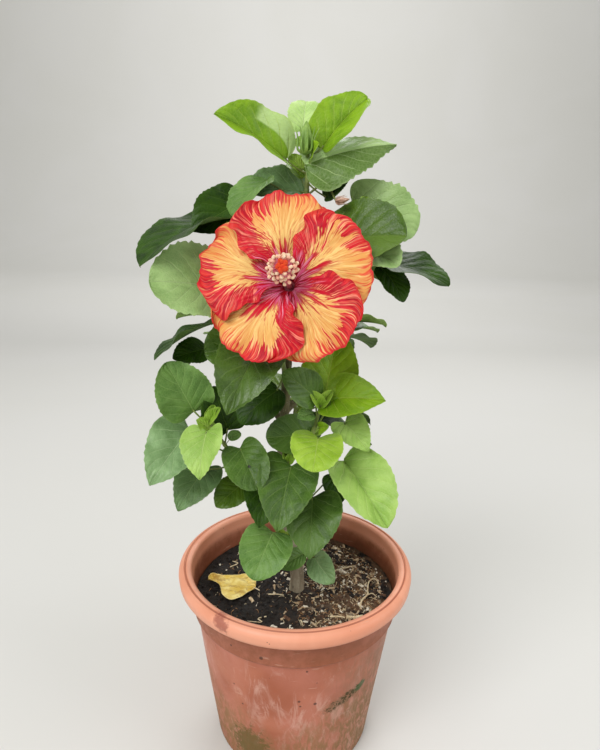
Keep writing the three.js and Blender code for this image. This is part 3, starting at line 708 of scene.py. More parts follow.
def scattered(name, model, seed, count, sizes, leaning, flat, looks):
    roll = dice(seed)
    made = []
    while len(made) < count:
        radius, angle = 122 * math.sqrt(roll()), math.tau * roll()
        x, y = radius * math.cos(angle), radius * math.sin(angle)
        size, turn, tip, side, luck = mix(*sizes, roll() ** 1.6), roll(), roll() - 0.5, roll() - 0.5, roll()
        liking = 1 / (1 + math.exp(-(x * 0.8 + y * 0.35) / 22)) if leaning else 1
        if luck > liking or math.hypot(x - STEM_X, y - STEM_Y) < 12 or math.hypot(x, y) > 123 - size / 2:
            continue
        one = copy_of(model, name + "_one")
        roughened(one, len(made) + seed, size * MM, 0.22)
        one.data.transform(Matrix.Translation(Vector((x, y, SOIL_LEVEL + soil_height(x, y) + size * 0.1)) * MM)
                           @ Matrix.Rotation(turn * math.tau, 4, "Z") @ Matrix.Rotation(tip * flat, 4, "X")
                           @ Matrix.Rotation(side * flat, 4, "Y"))
        wear(one, looks[len(made) % len(looks)])
        made.append(one)
    return made


LITTER_LOOKS = {  # darker tone, lighter tone, and the size of its patches
    "brown_bark": (rgb(66, 44, 30), rgb(108, 76, 52), 260.0),
    "grey_wood": (rgb(104, 90, 74), rgb(148, 130, 108), 260.0),
    "pale_wood": (rgb(168, 140, 106), rgb(212, 190, 156), 260.0),
    "perlite": (rgb(214, 202, 180), rgb(242, 234, 216), 500.0),
    "brown_fibre": (rgb(128, 88, 54), rgb(180, 136, 90), 260.0),
    "pale_root": (rgb(198, 176, 138), rgb(234, 218, 182), 260.0),
}
brown_bark, grey_wood, pale_wood, perlite, brown_fibre, pale_root = [
    plain_look(name, dark, light, 0.8 if name == "perlite" else 0.85, patch, 0.0003, 0.7)
    for name, (dark, light, patch) in LITTER_LOOKS.items()]
chip_looks = [brown_bark, pale_wood, brown_bark, soil_look, grey_wood]
litter = scattered("clod", clod_model, 17, 900, (1.4, 6.0), False, 2.6, [soil_look])
litter += scattered("chip", chip_model, 29, 420, (2.5, 10), True, 1.3, chip_looks)
litter += scattered("perlite", clod_model, 37, 170, (1.4, 3.4), True, 2.6, [perlite])
litter += scattered("flake", chip_model, 43, 230, (3.5, 9.5), True, 1.1, [pale_wood, perlite])
print("litter pieces", len(litter))

# %% [markdown]
# Curved threads. Roots, fibres, leaf stalks, boughs and the stem itself are all limbs: a tube that follows a
# smooth line and changes its radius on the way. One helper makes them all. A cylinder without ends is added at
# unit size, its long edges are subdivided into rings, its ends are filled, and then every ring is carried to
# its place on the line. The line passes through its points as the part's source draws it, so a limb here lies
# inside the solid it stands for.

# %% Helper: limbs along a line
def smooth_line(points, count):
    """count + 1 places, evenly spaced along a smooth line through the points."""
    points = [np.asarray(p, float) for p in points]
    if len(points) == 2:
        return np.array([mix(points[0], points[1], k / count) for k in range(count + 1)])
    ends = [2 * points[0] - points[1]] + points + [2 * points[-1] - points[-2]]
    dense = []
    for p0, p1, p2, p3 in zip(ends, ends[1:], ends[2:], ends[3:]):
        d0, d1, d2 = [np.linalg.norm(b - a) ** 0.5 or 1.0 for a, b in ((p0, p1), (p1, p2), (p2, p3))]
        t1 = ((p1 - p0) / d0 - (p2 - p0) / (d0 + d1) + (p2 - p1) / d1) * d1
        t2 = ((p2 - p1) / d1 - (p3 - p1) / (d1 + d2) + (p3 - p2) / d2) * d1
        t = np.linspace(0, 1, 24, endpoint=False)[:, None]
        dense.append(p1 + t1 * t + (3 * (p2 - p1) - 2 * t1 - t2) * t ** 2 + (2 * (p1 - p2) + t1 + t2) * t ** 3)
    dense = np.concatenate(dense + [points[-1][None]])
    run = np.concatenate([[0], np.cumsum(np.linalg.norm(np.diff(dense, axis=0), axis=1))])
    at = np.linspace(0, run[-1], count + 1)
    return np.stack([np.interp(at, run, dense[:, k]) for k in range(3)], 1)


tube_models = {}


def tube_model(sides, rings):
    """An open cylinder of unit radius from z 0 to 1, cut into rings, with both ends filled."""
    if (sides, rings) not in tube_models:
        made = primitive(bpy.ops.mesh.primitive_cylinder_add, "tube_model", vertices=sides, radius=1, depth=1,
                         end_fill_type="NOTHING")
        made.data.transform(Matrix.Translation((0, 0, 0.5)))
        bpy.context.tool_settings.mesh_select_mode = (False, True, False)
        mode("EDIT")
        bpy.ops.mesh.select_all(action="DESELECT")
        mode("OBJECT")
        for edge in made.data.edges:
            a, b = [made.data.vertices[v].co.z for v in edge.vertices]
            edge.select = abs(a - b) > 0.5
        mode("EDIT")
        if rings > 1:
            bpy.ops.mesh.subdivide(number_cuts=rings - 1)
        bpy.ops.mesh.select_mode(type="VERT")
        bpy.ops.mesh.select_all(action="DESELECT")
        bpy.ops.mesh.select_non_manifold()
        bpy.ops.mesh.edge_face_add()
        bpy.ops.mesh.select_all(action="SELECT")
        bpy.ops.mesh.normals_make_consistent(inside=False)
        mode("OBJECT")
        bpy.context.collection.objects.unlink(made)
        tube_models[sides, rings] = made
    return tube_models[sides, rings]


def limb(name, line, radius_at, sides, rings):
    """A tube along the line, in millimetres. radius_at takes arrays of shares travelled and angles round."""
    made = copy_of(tube_model(sides, rings), name)
    model = points_of(made)
    centres = smooth_line(line, rings)
    heading = np.gradient(centres, axis=0)
    heading /= np.linalg.norm(heading, axis=1)[:, None]
    across = np.cross(heading[0], (0, 1, 0) if abs(heading[0][1]) < 0.9 else (1, 0, 0))
    frames = []
    for ahead in heading:
        across = unit(across - ahead * (across @ ahead))
        frames.append((across, np.cross(ahead, across)))
    frames = np.array(frames)
    ring = np.rint(model[:, 2] * rings).astype(int)
    angle = np.arctan2(model[:, 1], model[:, 0])
    reach = radius_at(ring / rings, angle)
    put_points(made, (centres[ring] + frames[ring, 0] * (reach * np.cos(angle))[:, None]
                      + frames[ring, 1] * (reach * np.sin(angle))[:, None]) * MM)
    return made


def tapering(a, b):
    return lambda share, angle: mix(a, b, share) + 0 * angle


# %% [markdown]
# With the limb helper the litter gets its threads: fine brown fibres in the coarse patch on the right, a few
# pale roots, two dry sticks near the front edge and a twisted pale root on the right.

# %% Litter: fibres, roots and sticks
def lying(x, y, lift):
    return (x, y, SOIL_LEVEL + soil_height(x, y) + lift)


roll = dice(53)
for k in range(3400):
    radius, turn = 115 * math.sqrt(roll()), math.tau * roll()
    middle = (radius * math.cos(turn), radius * math.sin(turn))
    heading, length, bow = math.tau * roll(), mix(2.5, 11, roll() ** 2), mix(-0.9, 0.9, roll())
    liking = 0.07 + 0.93 / (1 + math.exp(-(middle[0] - 24 - 0.12 * middle[1]) / 13))
    if roll() > liking or math.hypot(middle[0] - STEM_X, middle[1] - STEM_Y) < 13:
        continue
    c, s = math.cos(heading), math.sin(heading)
    ends = [(middle[0] + end * length / 2 * c - (1 - end * end) * bow * s,
             middle[1] + end * length / 2 * s + (1 - end * end) * bow * c) for end in (-1, 0, 1)]
    line = [lying(*ends[0], -0.3), lying(*ends[1], mix(0.4, 2.2, roll())), lying(*ends[2], -0.3)]
    made = limb("fibre", line, tapering(mix(0.3, 0.62, roll()), 0.2), 4, 3)
    wear(made, (pale_root, brown_fibre, pale_root, brown_bark, brown_fibre)[k % 5])
    litter.append(made)

STICKS = (  # points as x, y and height above the soil, and the radius at each end
    (((44, -64, 1.0), (54, -65, 1.6), (62, -66, 1.0)), (1.1, 0.9)),
    (((64, -66, 1.6), (74, -66, 2.0), (84, -64, 1.4)), (2.2, 1.5)),
    (((104, 12, 1.5), (98, 2, 5.5), (95, -12, 3.0), (94, -24, 4.5), (86, -34, 3.0), (82, -46, 1.2)), (0.8, 1.3)),
    (((104, 12, 1.5), (108, 6, 4.0), (112, 0, 1.0)), (0.9, 0.6)),
    (((94, -24, 4.0), (100, -22, 5.0), (106, -26, 1.0)), (0.7, 0.5)),
    (((-34, -66, 1.0), (-44, -72, 2.6), (-38, -78, 1.5), (-56, -76, 0.6)), (0.7, 0.5)),
    (((6, -70, 0.6), (9, -74, 1.8), (10, -80, 0.4)), (0.9, 0.7)),
    (((-34, -24, 1.0), (-22, -26, 1.9), (-14, -25, 0.8)), (0.9, 0.6)),
    (((-90, 34, 1.0), (-80, 42, 3.0), (-88, 50, 1.0)), (0.8, 0.6)),
    (((58, 34, 1.0), (70, 36, 2.4), (84, 44, 1.0)), (1.0, 0.8)))
for ends, radii in STICKS:
    made = limb("stick", [lying(x, y, lift) for x, y, lift in ends], tapering(*radii), 7, 12)
    wear(made, pale_root)
    litter.append(made)
bpy.data.objects.remove(clod_model)
bpy.data.objects.remove(chip_model)
litter = joined("soil_litter", litter)
smooth(litter, 35)
finished(litter, "soil")

# %% [markdown]
# The stem and the boughs. The stem is one woody leader with a bend above the soil, thick and flared at its foot.
# Young hibiscus bark is grey-tan, with shallow lengthwise ridges, small raised pores and a faint swelling
# where each old leaf stood. Relief this fine still shows at the silhouette close up, so it is real geometry:
# the radius itself carries the ridges and rings. The boughs are the same kind of limb, thinner and smoother,
# and each starts inside the stem, with a collar where it leaves it.

# %% Stem and boughs
STEM_LINE = [(STEM_X, STEM_Y, 203.4), (STEM_X, STEM_Y, 232), (-3, -8, 256), (-14, -5, 286), (-20, -1, 330),
             (-18, 0, 400), (-16, 0, 466), (-11, 2, 560), (-3, 5, 640), (4, 6, 692)]
BOUGHS = {
    "bough_upper_left": ([(-15, 1, 498), (-24, 4, 524), (-36, 6, 545)], 4.6),
    "bough_upper_right": ([(-12, 2, 548), (14, 5, 572), (40, 6, 600)], 4.2),
    "bough_mid_left": ([(-20, -1, 340), (-46, -3, 352), (-70, -6, 375)], 5),
    "bough_mid_right": ([(-20, -1, 345), (-7, -11, 360), (6, -20, 375)], 5),
    "bough_back_low": ([(-19, 0, 352), (-14, 26, 372), (-8, 44, 398)], 4.8),
    "bough_back_left": ([(-17, 0, 430), (-36, 20, 452), (-50, 36, 478)], 4.5),
    "bough_back_right": ([(-16, 0, 448), (4, 16, 464), (20, 30, 484)], 4.5),
    "bough_back_upper": ([(-14, 1, 512), (10, 18, 538), (30, 34, 570)], 4.2),
    "bough_back_high": ([(-10, 2, 575), (-6, 22, 592), (-4, 36, 616)], 4),
}


def bark_relief(share, angle, length, depth, seed):
    out = []
    for s, a in zip(np.atleast_1d(share), np.atleast_1d(angle)):
        h = s * length
        round_it = Vector((math.cos(a) * 1.9, math.sin(a) * 1.9, h / 26 + seed))
        ridges = noise.noise(round_it) + 0.5 * noise.noise(Vector((round_it.x * 2.6, round_it.y * 2.6, h / 9 + seed)))
        pores = max(0.0, noise.noise(Vector((round_it.x * 3, round_it.y * 3, h / 2.4 + seed))) - 0.28) * 1.6
        node_ring = math.exp(-(((h + 9 * seed) % 37 - 18) / 2.2) ** 2) * 0.55
        out.append(depth * (ridges + pores + node_ring))
    return np.array(out)


def stem_radius(share, angle):
    height = share * (692 - SOIL_LEVEL)
    flare = 1.2 * np.exp(-height / 22 * 2) * (1 + 0.35 * np.cos(3 * angle))
    return mix(9.2, 3.4, share ** 0.8) + flare + bark_relief(share, angle, 490, 0.55, 1) * (1.15 - 0.6 * share)


def bough_radius(first, length, seed):
    def radius_at(share, angle):
        collar = 1.3 * np.exp(-share * length / 5)
        return mix(first, 3.3, share) + collar + bark_relief(share, angle, length, 0.3, seed) - 0.1

    return radius_at


limbs = [limb("stem", STEM_LINE, stem_radius, 30, 300)]
for k, (name, (line, first)) in enumerate(BOUGHS.items()):
    length = sum(math.dist(a, b) for a, b in zip(line, line[1:]))
    limbs.append(limb(name, line, bough_radius(first, length, k + 2), 16, 30))
print("limbs", len(limbs))

# %% [markdown]
# Bark colour follows age: grey-tan at the foot with a little green where algae sits in the grooves, browner
# higher up, and greenish on the boughs' ends, where the wood is only a year old.

# %% Bark material
look = Look("young_bark", 0.8)
place = look.place = Field(node(look.tree, "TexCoord").outputs["Object"])
long_place = stretched(place, (1.0, 1.0, 0.22))
patches = placed(look.tree, mottle, Place=long_place, Scale=150.0)
old = blended(patches["Broad"], rgb(136, 124, 102), rgb(176, 166, 142))
young = blended(patches["Broad"], rgb(84, 78, 48), rgb(116, 108, 70))
look.lay(blended(between(xyz(place)[2], 0.28, 0.5), old, young))
grooves = between(grain(long_place, 420.0, 3.0, 0.6), 0.42, 0.3)
look.lay(rgb(58, 47, 36), grooves, 0.6)
look.lay(rgb(196, 184, 160), between(from_dots(place, 260.0), 0.22, 0.14), 0.5)
bark = look.finish(patches["Fine"] * 0.2 + 0.7, patches["Fine"] - grooves, 0.0006, 0.8)
for thing in limbs:
    wear(thing, bark)
wood = joined("stem_and_boughs", limbs)
smooth(wood, 60)
finished(wood, "bark", "trunk", *BOUGHS)

# %% [markdown]
# Leaves carry this plant, so they get the most care. A hibiscus leaf is a broad oval with a rounded base, a
# pointed tip and blunt teeth on its outer two thirds. Its veins run forward from the midrib, sunk on the upper
# side, and the blade bulges between them. The blade is mapped from a grid: one direction runs from base to tip,
# the other from edge to edge. The bend, the fold at the midrib and the outline are the source's own formulas,
# and teeth, bulges and wavy edges are added on top, finer than the solids could carry.

# %% The leaf rule of the source
FORMS = {  # how steeply the outline rises and falls, how far the base reaches back, and the fold if it is a set one
    "oval": (0.52, 0.72, 0.09, None),
    "heart": (0.42, 0.92, 0.3, None),
    "round": (0.42, 0.5, 0.34, None),
    "broad": (0.4, 0.62, 0.12, None),
    "cupped": (0.42, 0.66, 0.12, 34),
    "ridged": (0.32, 1, 0.08, -18),
}


class Leaf:
    """Where one leaf's stalk leaves its shoot, and the frame and shape of its blade, in millimetres."""

    def __init__(self, start, row, light, roll, tone):
        turn, rise, stalk, aim, pitch, size, tilt, broad, form = list(row) + [0, None, "oval"][len(row) - 6:]
        self.node = start
        self.base = start + direction(turn, rise) * stalk
        self.along = direction(aim, pitch)
        up = unit(light)
        up = unit(up - self.along * (up @ self.along))
        self.up = turned_about(up, self.along, math.radians(tilt))
        self.side = np.cross(self.up, self.along)
        self.size = size
        self.half = size * mix(0.4, 0.46, roll() if broad is None else broad)
        self.rise, self.fall, self.lobe, fold = FORMS[form]
        self.fold = math.radians(fold or mix(10, 24, roll()))
        self.arch = math.radians(mix(26, 50, roll()))
        self.phase = math.tau * roll()
        self.tone = tone

    def outline(self, share):
        peak = self.rise / (self.rise + self.fall)
        return (share / peak) ** self.rise * ((1 - share) / (1 - peak)) ** self.fall

    def point(self, share, across, lift=0.0, widen=0.0):
        """Places on the blade for arrays of shares from base to tip and across from -1 to 1."""
        share, across = np.asarray(share, float), np.asarray(across, float)
        bend = self.size / (2 * math.sin(self.arch / 2))
        angle = self.arch * (share - 0.5)
        outline = self.outline(share)
        half = np.maximum(self.half * outline, 0.8) + widen
        reach = bend * (np.sin(angle) + math.sin(self.arch / 2))
        height = bend * (np.cos(angle) - math.cos(self.arch / 2))
        lobe = self.lobe * self.size * outline * (1 - share) ** 4 * across ** 2
        wave = 0.018 * self.size * np.sin(5 * math.pi * share + self.phase + across) * across ** 2
        normal = np.sin(angle)[..., None] * self.along + np.cos(angle)[..., None] * self.up
        rise = half * np.abs(across) * math.sin(self.fold) + wave + lift
        return (self.base + (reach - lobe)[..., None] * self.along + height[..., None] * self.up
                + (half * across * math.cos(self.fold))[..., None] * self.side + rise[..., None] * normal)


def coarse_shell(leaf, rows=6):
    """The source's plain blade as a tree of faces, to ask whether two leaves cross."""
    columns = 3
    share, across = np.meshgrid(np.linspace(0, 1, rows), [-1, 0, 1], indexing="ij")
    points = np.concatenate([leaf.point(share, across, s * 0.6).reshape(-1, 3) for s in (1, -1)])
    under = rows * columns
    faces = []
    for i in range(rows - 1):
        for j in range(columns - 1):
            a = i * columns + j
            quad = (a, a + columns, a + columns + 1, a + 1)
            faces += [quad, tuple(under + v for v in quad)]
        for a in (i * columns, i * columns + columns - 1):
            faces.append((a, a + columns, under + a + columns, under + a))
    return points, BVHTree.FromPolygons([Vector(p) for p in points], faces)


# %% [markdown]
# The table of shoots. Each leaf on the front has its tone, and then the numbers
# of the source: stalk bearing, rise and length, blade bearing, pitch and length, and, where it matters, a tilt and
# a breadth. The shoots behind can't be seen, so their leaves come from the source's rule for unseen shoots.

# %% Shoots and their leaves
SHOOTS = {
    "crown": (11, (4, 6, 692.3), (6, 4, 752), [
        ("mid", 177, 24, 47, -136, -39, 63, 30),
        ("blue", 102, -7, 19, -162, 1, 63, 8, 0.6, "round"),
        ("dark", -4, -39, 26, -24, 38, 36, 0, -1, "oval"),
        ("lime_rolled", -153, 27, 30, -157, 27, 88, 6, -0.4, "cupped"),
        ("halved", -104, 5, 13, 10, 13, 104, 0, -1, "ridged"),
        ("lime", -21, 30, 18, 19, 46, 74, -6, 0, "cupped"),
        ("cream", 122, 58, 24, 85, 50, 44, 0, 0.5, "round")]),
    "upper_left": (23, (-36, 6, 545), (-85, 5, 655), [
        ("dark", 173, -27, 80, -141, -7, 46), ("dark", 175, -26, 57, -144, -25, 84, 58),
        ("pale", -158, -12, 29, -150, 9, 88, -8, 2, "round"),
        ("dark", 143, 63, 54, -145, -25, 113, 40), ("dark", 64, 56, 60, -146, -28, 76, -5)]),
    "upper_right": (31, (40, 6, 600), (68, 5, 680), [
        ("dark", -12, 18, 51, -47, -45, 50, -20, 0), ("dark", -1, 2, 38, -29, -12, 87, -34, 0),
        ("half_lit", -152, 18, 30, -27, 7, 91, -4, 1.4, "round"),
        ("pale", -79, -30, 30, -45, -12, 54, 0, 0.8, "round"),
        ("pale", 111, 40, 29, -15, -20, 80, 12, 1, "round")]),
    "under_bloom": (41, (-16, 0, 490), (-22, -30, 538), [
        ("dark", -137, -65, 21, -157, -37, 61, 10, 1),
        ("glossy", 173, 33, 29, -148, 1, 72, -10, 1.4, "round"),
        ("glossy", -145, 20, 28, -118, -43, 92, 0, 0.5, "heart")]),
    "mid_left": (53, (-70, -6, 375), (-107, -20, 440), [
        ("blue", 158, -19, 49, -119, -33, 65, 0, 0.5, "heart"),
        ("sage", 169, 27, 59, -121, -33, 85, 0, 0.6, "heart"),
        ("dark", 83, 37, 21, -143, 72, 63, 0, 0.6),
        ("bright", -123, 31, 23, -94, -48, 59, 16, 1, "heart"),
        ("mid", 170, 37, 27, -153, 64, 71, 0, 1.2, "broad")]),
    "mid_right": (61, (6, -20, 375), (26, -38, 470), [
        ("bright", -4, 15, 50, -53, -34, 95, -8, 0.5, "cupped"),
        ("lime_light", -59, 55, 45, -97, -18, 58, 0, 2, "round"),
        ("bright", 21, 32, 54, -54, -25, 50, 0, 0.5, "heart"),
        ("deep", 76, 3, 14, -160, 3, 60, 0, 0.5, "round"),
        ("lime", 5, 65, 42, -25, 7, 67, 0, 0.5, "heart"), ("deep", -95, 77, 27, -169, 40, 53),
        ("lime", 48, 60, 18, 66, 62, 81, 0, 0.5, "heart")]),
    "front": (71, (-16, -13, 300), (-10, -38, 399), [
        ("dark", 27, 37, 84, -71, -35, 42), ("olive", 155, 22, 63, -138, -24, 47),
        ("deep", -27, 19, 39, -94, -41, 74, 0, 1.5, "heart"),
        ("dark", 172, 49, 27, -103, -41, 70, 0, 1, "heart"),
        ("deep", -72, 57, 26, -103, -41, 80, 0, 1, "heart"),
        ("deep", -176, 23, 62, -59, -34, 58, 0, 1, "round")]),
    "low": (83, (-10, -14, 250), (-12, -34, 292), [
        ("mid", -43, 32, 32, -154, -19, 34), ("sage", 7, -16, 36, -53, -22, 44, 20),
        ("mid", -129, 47, 37, -114, -35, 61, 0, 2, "broad")]),
}
UNSEEN_SHOOTS = {
    "back_low": (146, (-8, 44, 398), (-2, 66, 450), 92, 250, 9, 94, ((-128, 18, 280), (100, 180, 470))),
    "back_left": (125, (-50, 36, 478), (-72, 52, 536), 118, 240, 9, 88, ((-160, 21, 474), (-14, 160, 590))),
    "back_right": (120, (20, 30, 484), (32, 50, 532), 80, 240, 8, 80, ((-12, 8, 474), (110, 160, 563))),
    "back_upper": (149, (30, 34, 570), (52, 52, 636), 68, 210, 7, 84, ((24, 29, 564), (128, 160, 716))),
    "back_high": (153, (-4, 36, 616), (-8, 56, 676), 100, 240, 8, 88, ((-90, 20, 588), (23, 170, 735))),
}
UNSEEN_TONES = ("deep", "dark", "mid", "glossy", "deep", "bright", "blue", "lime")


def photographed_leaves(seed, start, end, rows):
    roll = dice(seed)
    start, end = np.array(start, float), np.array(end, float)
    return [Leaf(mix(start, end, (i + 0.5) / len(rows)), row[1:], TO_VIEWER, roll, row[0])
            for i, row in enumerate(rows)]


def unseen_leaves(seed, start, end, outward, span, count, largest, space):
    roll = dice(seed)
    start, end = np.array(start, float), np.array(end, float)
    made, taken = [], []
    for i in range(count):
        share = (i + 0.5) / count
        size = largest * (1 - 0.3 * share) * mix(0.92, 1.08, roll())
        for attempt in range(12):
            turn = outward + span * ((i * 0.618 + attempt * 0.382 + 0.5) % 1 - 0.5)
            aim = turn + mix(-30, 30, roll())
            pitch = mix(-48, 10, share) + mix(-10, 10, roll())
            stalk = size * mix(0.3, 0.5, roll())
            row = (turn, mix(8, 46, share), stalk, aim, pitch, size, mix(-20, 20, roll()))
            leaf = Leaf(mix(start, end, share), row, direction(turn, 40), roll, UNSEEN_TONES[i % 8])
            probes = leaf.point([1, 0.4, 0.4], [0, -1, 1])
            shell = coarse_shell(leaf, 5)[1]
            if (probes > space[0]).all() and (probes < space[1]).all() and not any(shell.overlap(t) for t in taken):
                taken.append(shell)
                made.append(leaf)
                break
    return made


def young_leaves(seed, start, end):
    roll = dice(seed + 1)
    tip = mix(np.array(start, float), np.array(end, float), 0.97)
    made = []
    for k in (0, 1):
        turn = 360 * roll() + 170 * k
        row = (turn, 60, 1, turn, mix(52, 72, roll()), mix(18, 24, roll()), 0)
        made.append(Leaf(tip, row, TO_VIEWER, roll, "young"))
    return made


growth = {name: (photographed_leaves(*spec) if len(spec) == 4 else unseen_leaves(*spec), spec[1], spec[2])
          for name, spec in {**SHOOTS, **UNSEEN_SHOOTS}.items()}
for name, (leaves, start, end) in growth.items():
    shell = np.concatenate([coarse_shell(leaf)[0] for leaf in leaves])
    low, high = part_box("foliage_" + name)
    gap = max(max(low / MM - Vector(shell.min(0))), max(Vector(shell.max(0)) - high / MM))
    print("shoot", name, "leaves", len(leaves), "outside its solid by", round(gap, 1), "mm")

# %% [markdown]
# The leaf's surface. One node group draws the veins for every tone of leaf, from two maps that each blade
# carries: "blade" runs 0 to 1 across and along, and "blade_size" is the same place in real length, so that a
# midrib is as thick on a small leaf as on a large one. It gives the main veins, the fine net between them, the
# quilting, and masks for the margin, for the lower half and for a painted sheen along a rolled edge. Side veins
# leave the midrib alternately and slant forward, as the bulges do.

# %% Shared effect: leaf veins
VEIN_SPACING, VEIN_SLANT = 0.165, 0.42

leaf_veins, takes, way_out = new_group(
    "leaf_veins", dict(Blade="Vector", Size="Vector"),
    dict.fromkeys(("Veins", "Net", "Margin", "LowHalf", "Rolled", "Quilt"), "Float"))
from_left, along, _ = xyz(takes["Blade"])
across = from_left * 2.0 - 1.0
off_rib = abs(across)
midrib = between(abs(xyz(takes["Size"])[0]) / (along * -0.007 + 0.0095), 1.2, 0.3)
one_side = across.math("GREATER_THAN", 0.0) * 0.45
order = (along + off_rib ** 0.85 * -VEIN_SLANT) / VEIN_SPACING + one_side
order = order + (grain(takes["Size"], 7.0, 2.0) - 0.5) * 0.4
from_vein = abs((order + 0.5).math("FRACT") - 0.5)
side_vein = between(from_vein, 0.075, 0.015) * between(off_rib, 1.0, 0.5) * between(along, 0.98, 0.75)
side_vein = side_vein * between(order, 1.2, 0.4) * 0.4 + side_vein * 0.5
give(way_out, Veins=larger(midrib, side_vein),
     Net=between(from_dots(takes["Size"], 30.0, "DISTANCE_TO_EDGE"), 0.16, 0.02),
     Margin=between(off_rib, 0.92, 1.0), LowHalf=between(across, 0.04, -0.04),
     Rolled=between(across, -0.42, -0.5) * between(along, 0.6, 0.5),
     Quilt=between(from_vein, 0.0, 0.42) * between(off_rib, 0.02, 0.2) * between(off_rib, 1.0, 0.6))

# %% [markdown]
# Leaf tones. On the photographed plant no two leaves are alike: the youngest are lime and most are a full mid
# green. Some tones carry painted light: the lime and bright faces are partly a painted glow of light shining through
# the leaf, the leaves in shade get painted shade and are nearly black-green, some get a painted grey-blue reflection
# of the sky, and two are folded with painted light on one half and painted shade on the other. All share one
# recipe: the face in two close tones, paler veins, a faint net, a soft gloss that breaks up over the bulges, and a
# paler, matt underside.

# %% Leaf materials
# Where the low half's colour differs, it is painted light: one half lit and the other in painted shade.
TONES = {  # darker face, lighter face, vein, roughness, and the low half's colour where it differs
    # Painted light: the lime and bright faces are partly a painted glow of light shining through the leaf.
    "lime": ((98, 138, 8), (132, 172, 22), (172, 196, 74), 0.46),
    "bright": ((136, 174, 74), (164, 198, 98), (196, 218, 136), 0.46),
    "lime_light": ((128, 166, 34), (158, 192, 62), (190, 212, 110), 0.42),
    # Painted highlight: a paler sheen along one edge, as if it rolled up into the light.
    "lime_rolled": ((94, 134, 6), (126, 166, 18), (166, 192, 68), 0.46, None, (176, 204, 130)),
    "sage": ((106, 140, 84), (138, 172, 116), (172, 200, 144), 0.42),
    "cream": ((160, 196, 106), (186, 216, 132), (206, 226, 164), 0.46),
    "mid": ((80, 118, 46), (108, 144, 68), (150, 182, 104), 0.46),
    "deep": ((54, 84, 22), (78, 110, 38), (122, 150, 76), 0.44),
    # Painted shade: leaves in shade get a nearly black-green face.
    "dark": ((24, 50, 4), (46, 78, 8), (84, 114, 36), 0.44),
    "glossy": ((48, 74, 16), (74, 102, 34), (116, 144, 72), 0.36),
    # Painted reflection: the grey-blue of the sky's sheen is painted into this face.
    "blue": ((82, 110, 62), (112, 146, 92), (154, 182, 122), 0.42),
    "pale": ((128, 160, 92), (158, 188, 118), (186, 208, 146), 0.46),
    "young": ((120, 158, 40), (150, 186, 66), (184, 204, 108), 0.48),
    "olive": ((52, 80, 4), (76, 106, 10), (112, 138, 48), 0.46),
    # The next two tones paint light on one half of a folded leaf and painted shade on the other.
    "halved": ((150, 182, 112), (176, 204, 134), (184, 208, 144), 0.42, (70, 102, 16)),
    "half_lit": ((54, 84, 8), (74, 104, 16), (110, 138, 52), 0.4, (92, 120, 44)),
}
TEETH = {"pale": 0.046, "cream": 0.04, "halved": 0.03, "bright": 0.026, "lime": 0.014, "lime_rolled": 0.012,
         "young": 0.01}
INSECT_HOLE_SHADE = (-0.0545, -0.0645, 0.4023)


def leaf_material(name, dark, light, vein, roughness, low_half_painted_light=None, rolled_sheen=None, upper_side=True):
    look = Look(name, roughness, 42.0, gloss=0.2 if "dark" in name else 0.36)
    pattern = placed(look.tree, leaf_veins, Blade=uv_map(look.tree, "blade"), Size=uv_map(look.tree, "blade_size"))
    look.lay(blended(look.broad, rgb(*dark), rgb(*light)))
    look.lay(rgb(*light), look.fine, 0.2)
    for colour, part, strength in ((low_half_painted_light, "LowHalf", 0.9), (rolled_sheen, "Rolled", 1), (vein, "Net", 0.1),
                                   (vein, "Margin", 0.25), (vein, "Veins", 0.6)):
        if colour:
            look.lay(rgb(*colour), pattern[part], strength)
    # The insect hole is not cut: painted shade, the dark seen through a hole, is put in its place.
    if name == "leaf_deep":
        look.lay(rgb(24, 26, 12), look.mark(INSECT_HOLE_SHADE, (0.0024, 0.01, 0.0018), 0.4))
    height = pattern["Quilt"] * 0.6 - pattern["Veins"] - pattern["Net"] * 0.25
    height = height * (1.0 if upper_side else -1.0) + look.broad * 0.8 + look.fine * 0.2
    rough = look.fine * 0.12 + (roughness - 0.1) + pattern["Veins"] * 0.12
    return look.finish(rough, height, 0.00055, 0.9)


leaf_looks = {tone: leaf_material("leaf_" + tone, *values) for tone, values in TONES.items()}
under_looks = {
    "dark": leaf_material("leaf_under_dark", (70, 98, 42), (92, 120, 56), (128, 150, 88), 0.62, upper_side=False),
    "light": leaf_material("leaf_under_light", (120, 152, 66), (146, 178, 88), (178, 200, 124), 0.6,
                           upper_side=False),
}
LIGHT_TONES = {"lime", "lime_light", "lime_rolled", "bright", "pale", "cream", "young", "blue", "sage"}
print("leaf tones", len(leaf_looks))

# %% [markdown]
# One flat grid is the model of every blade. Each copy is carried to its place by the rule above, with rows set
# closer at the base and the tip, where the outline turns fastest. Solidify then gives it a leaf's thickness
# and puts the underside's material on the back. Veins are valleys on top and so become ribs below.

# %% Making the blades
ROWS, COLUMNS = 44, 18


def grid(name, columns, rows, *maps):
    """A flat grid from -1 to 1 both ways, with the named UV maps."""
    made = primitive(bpy.ops.mesh.primitive_grid_add, name, x_subdivisions=columns, y_subdivisions=rows, size=2)
    made.data.uv_layers[0].name = maps[0]
    for extra in maps[1:]:
        made.data.uv_layers.new(name=extra)
    return made


blade_model = grid("blade_model", COLUMNS, ROWS, "blade", "blade_size")
model = points_of(blade_model)
blade_across = -np.sign(model[:, 0]) * np.abs(model[:, 0]) ** 0.9
blade_line = (model[:, 1] + 1) / 2
blade_share = mix(blade_line, 0.5 - 0.5 * np.cos(math.pi * blade_line), 0.55)


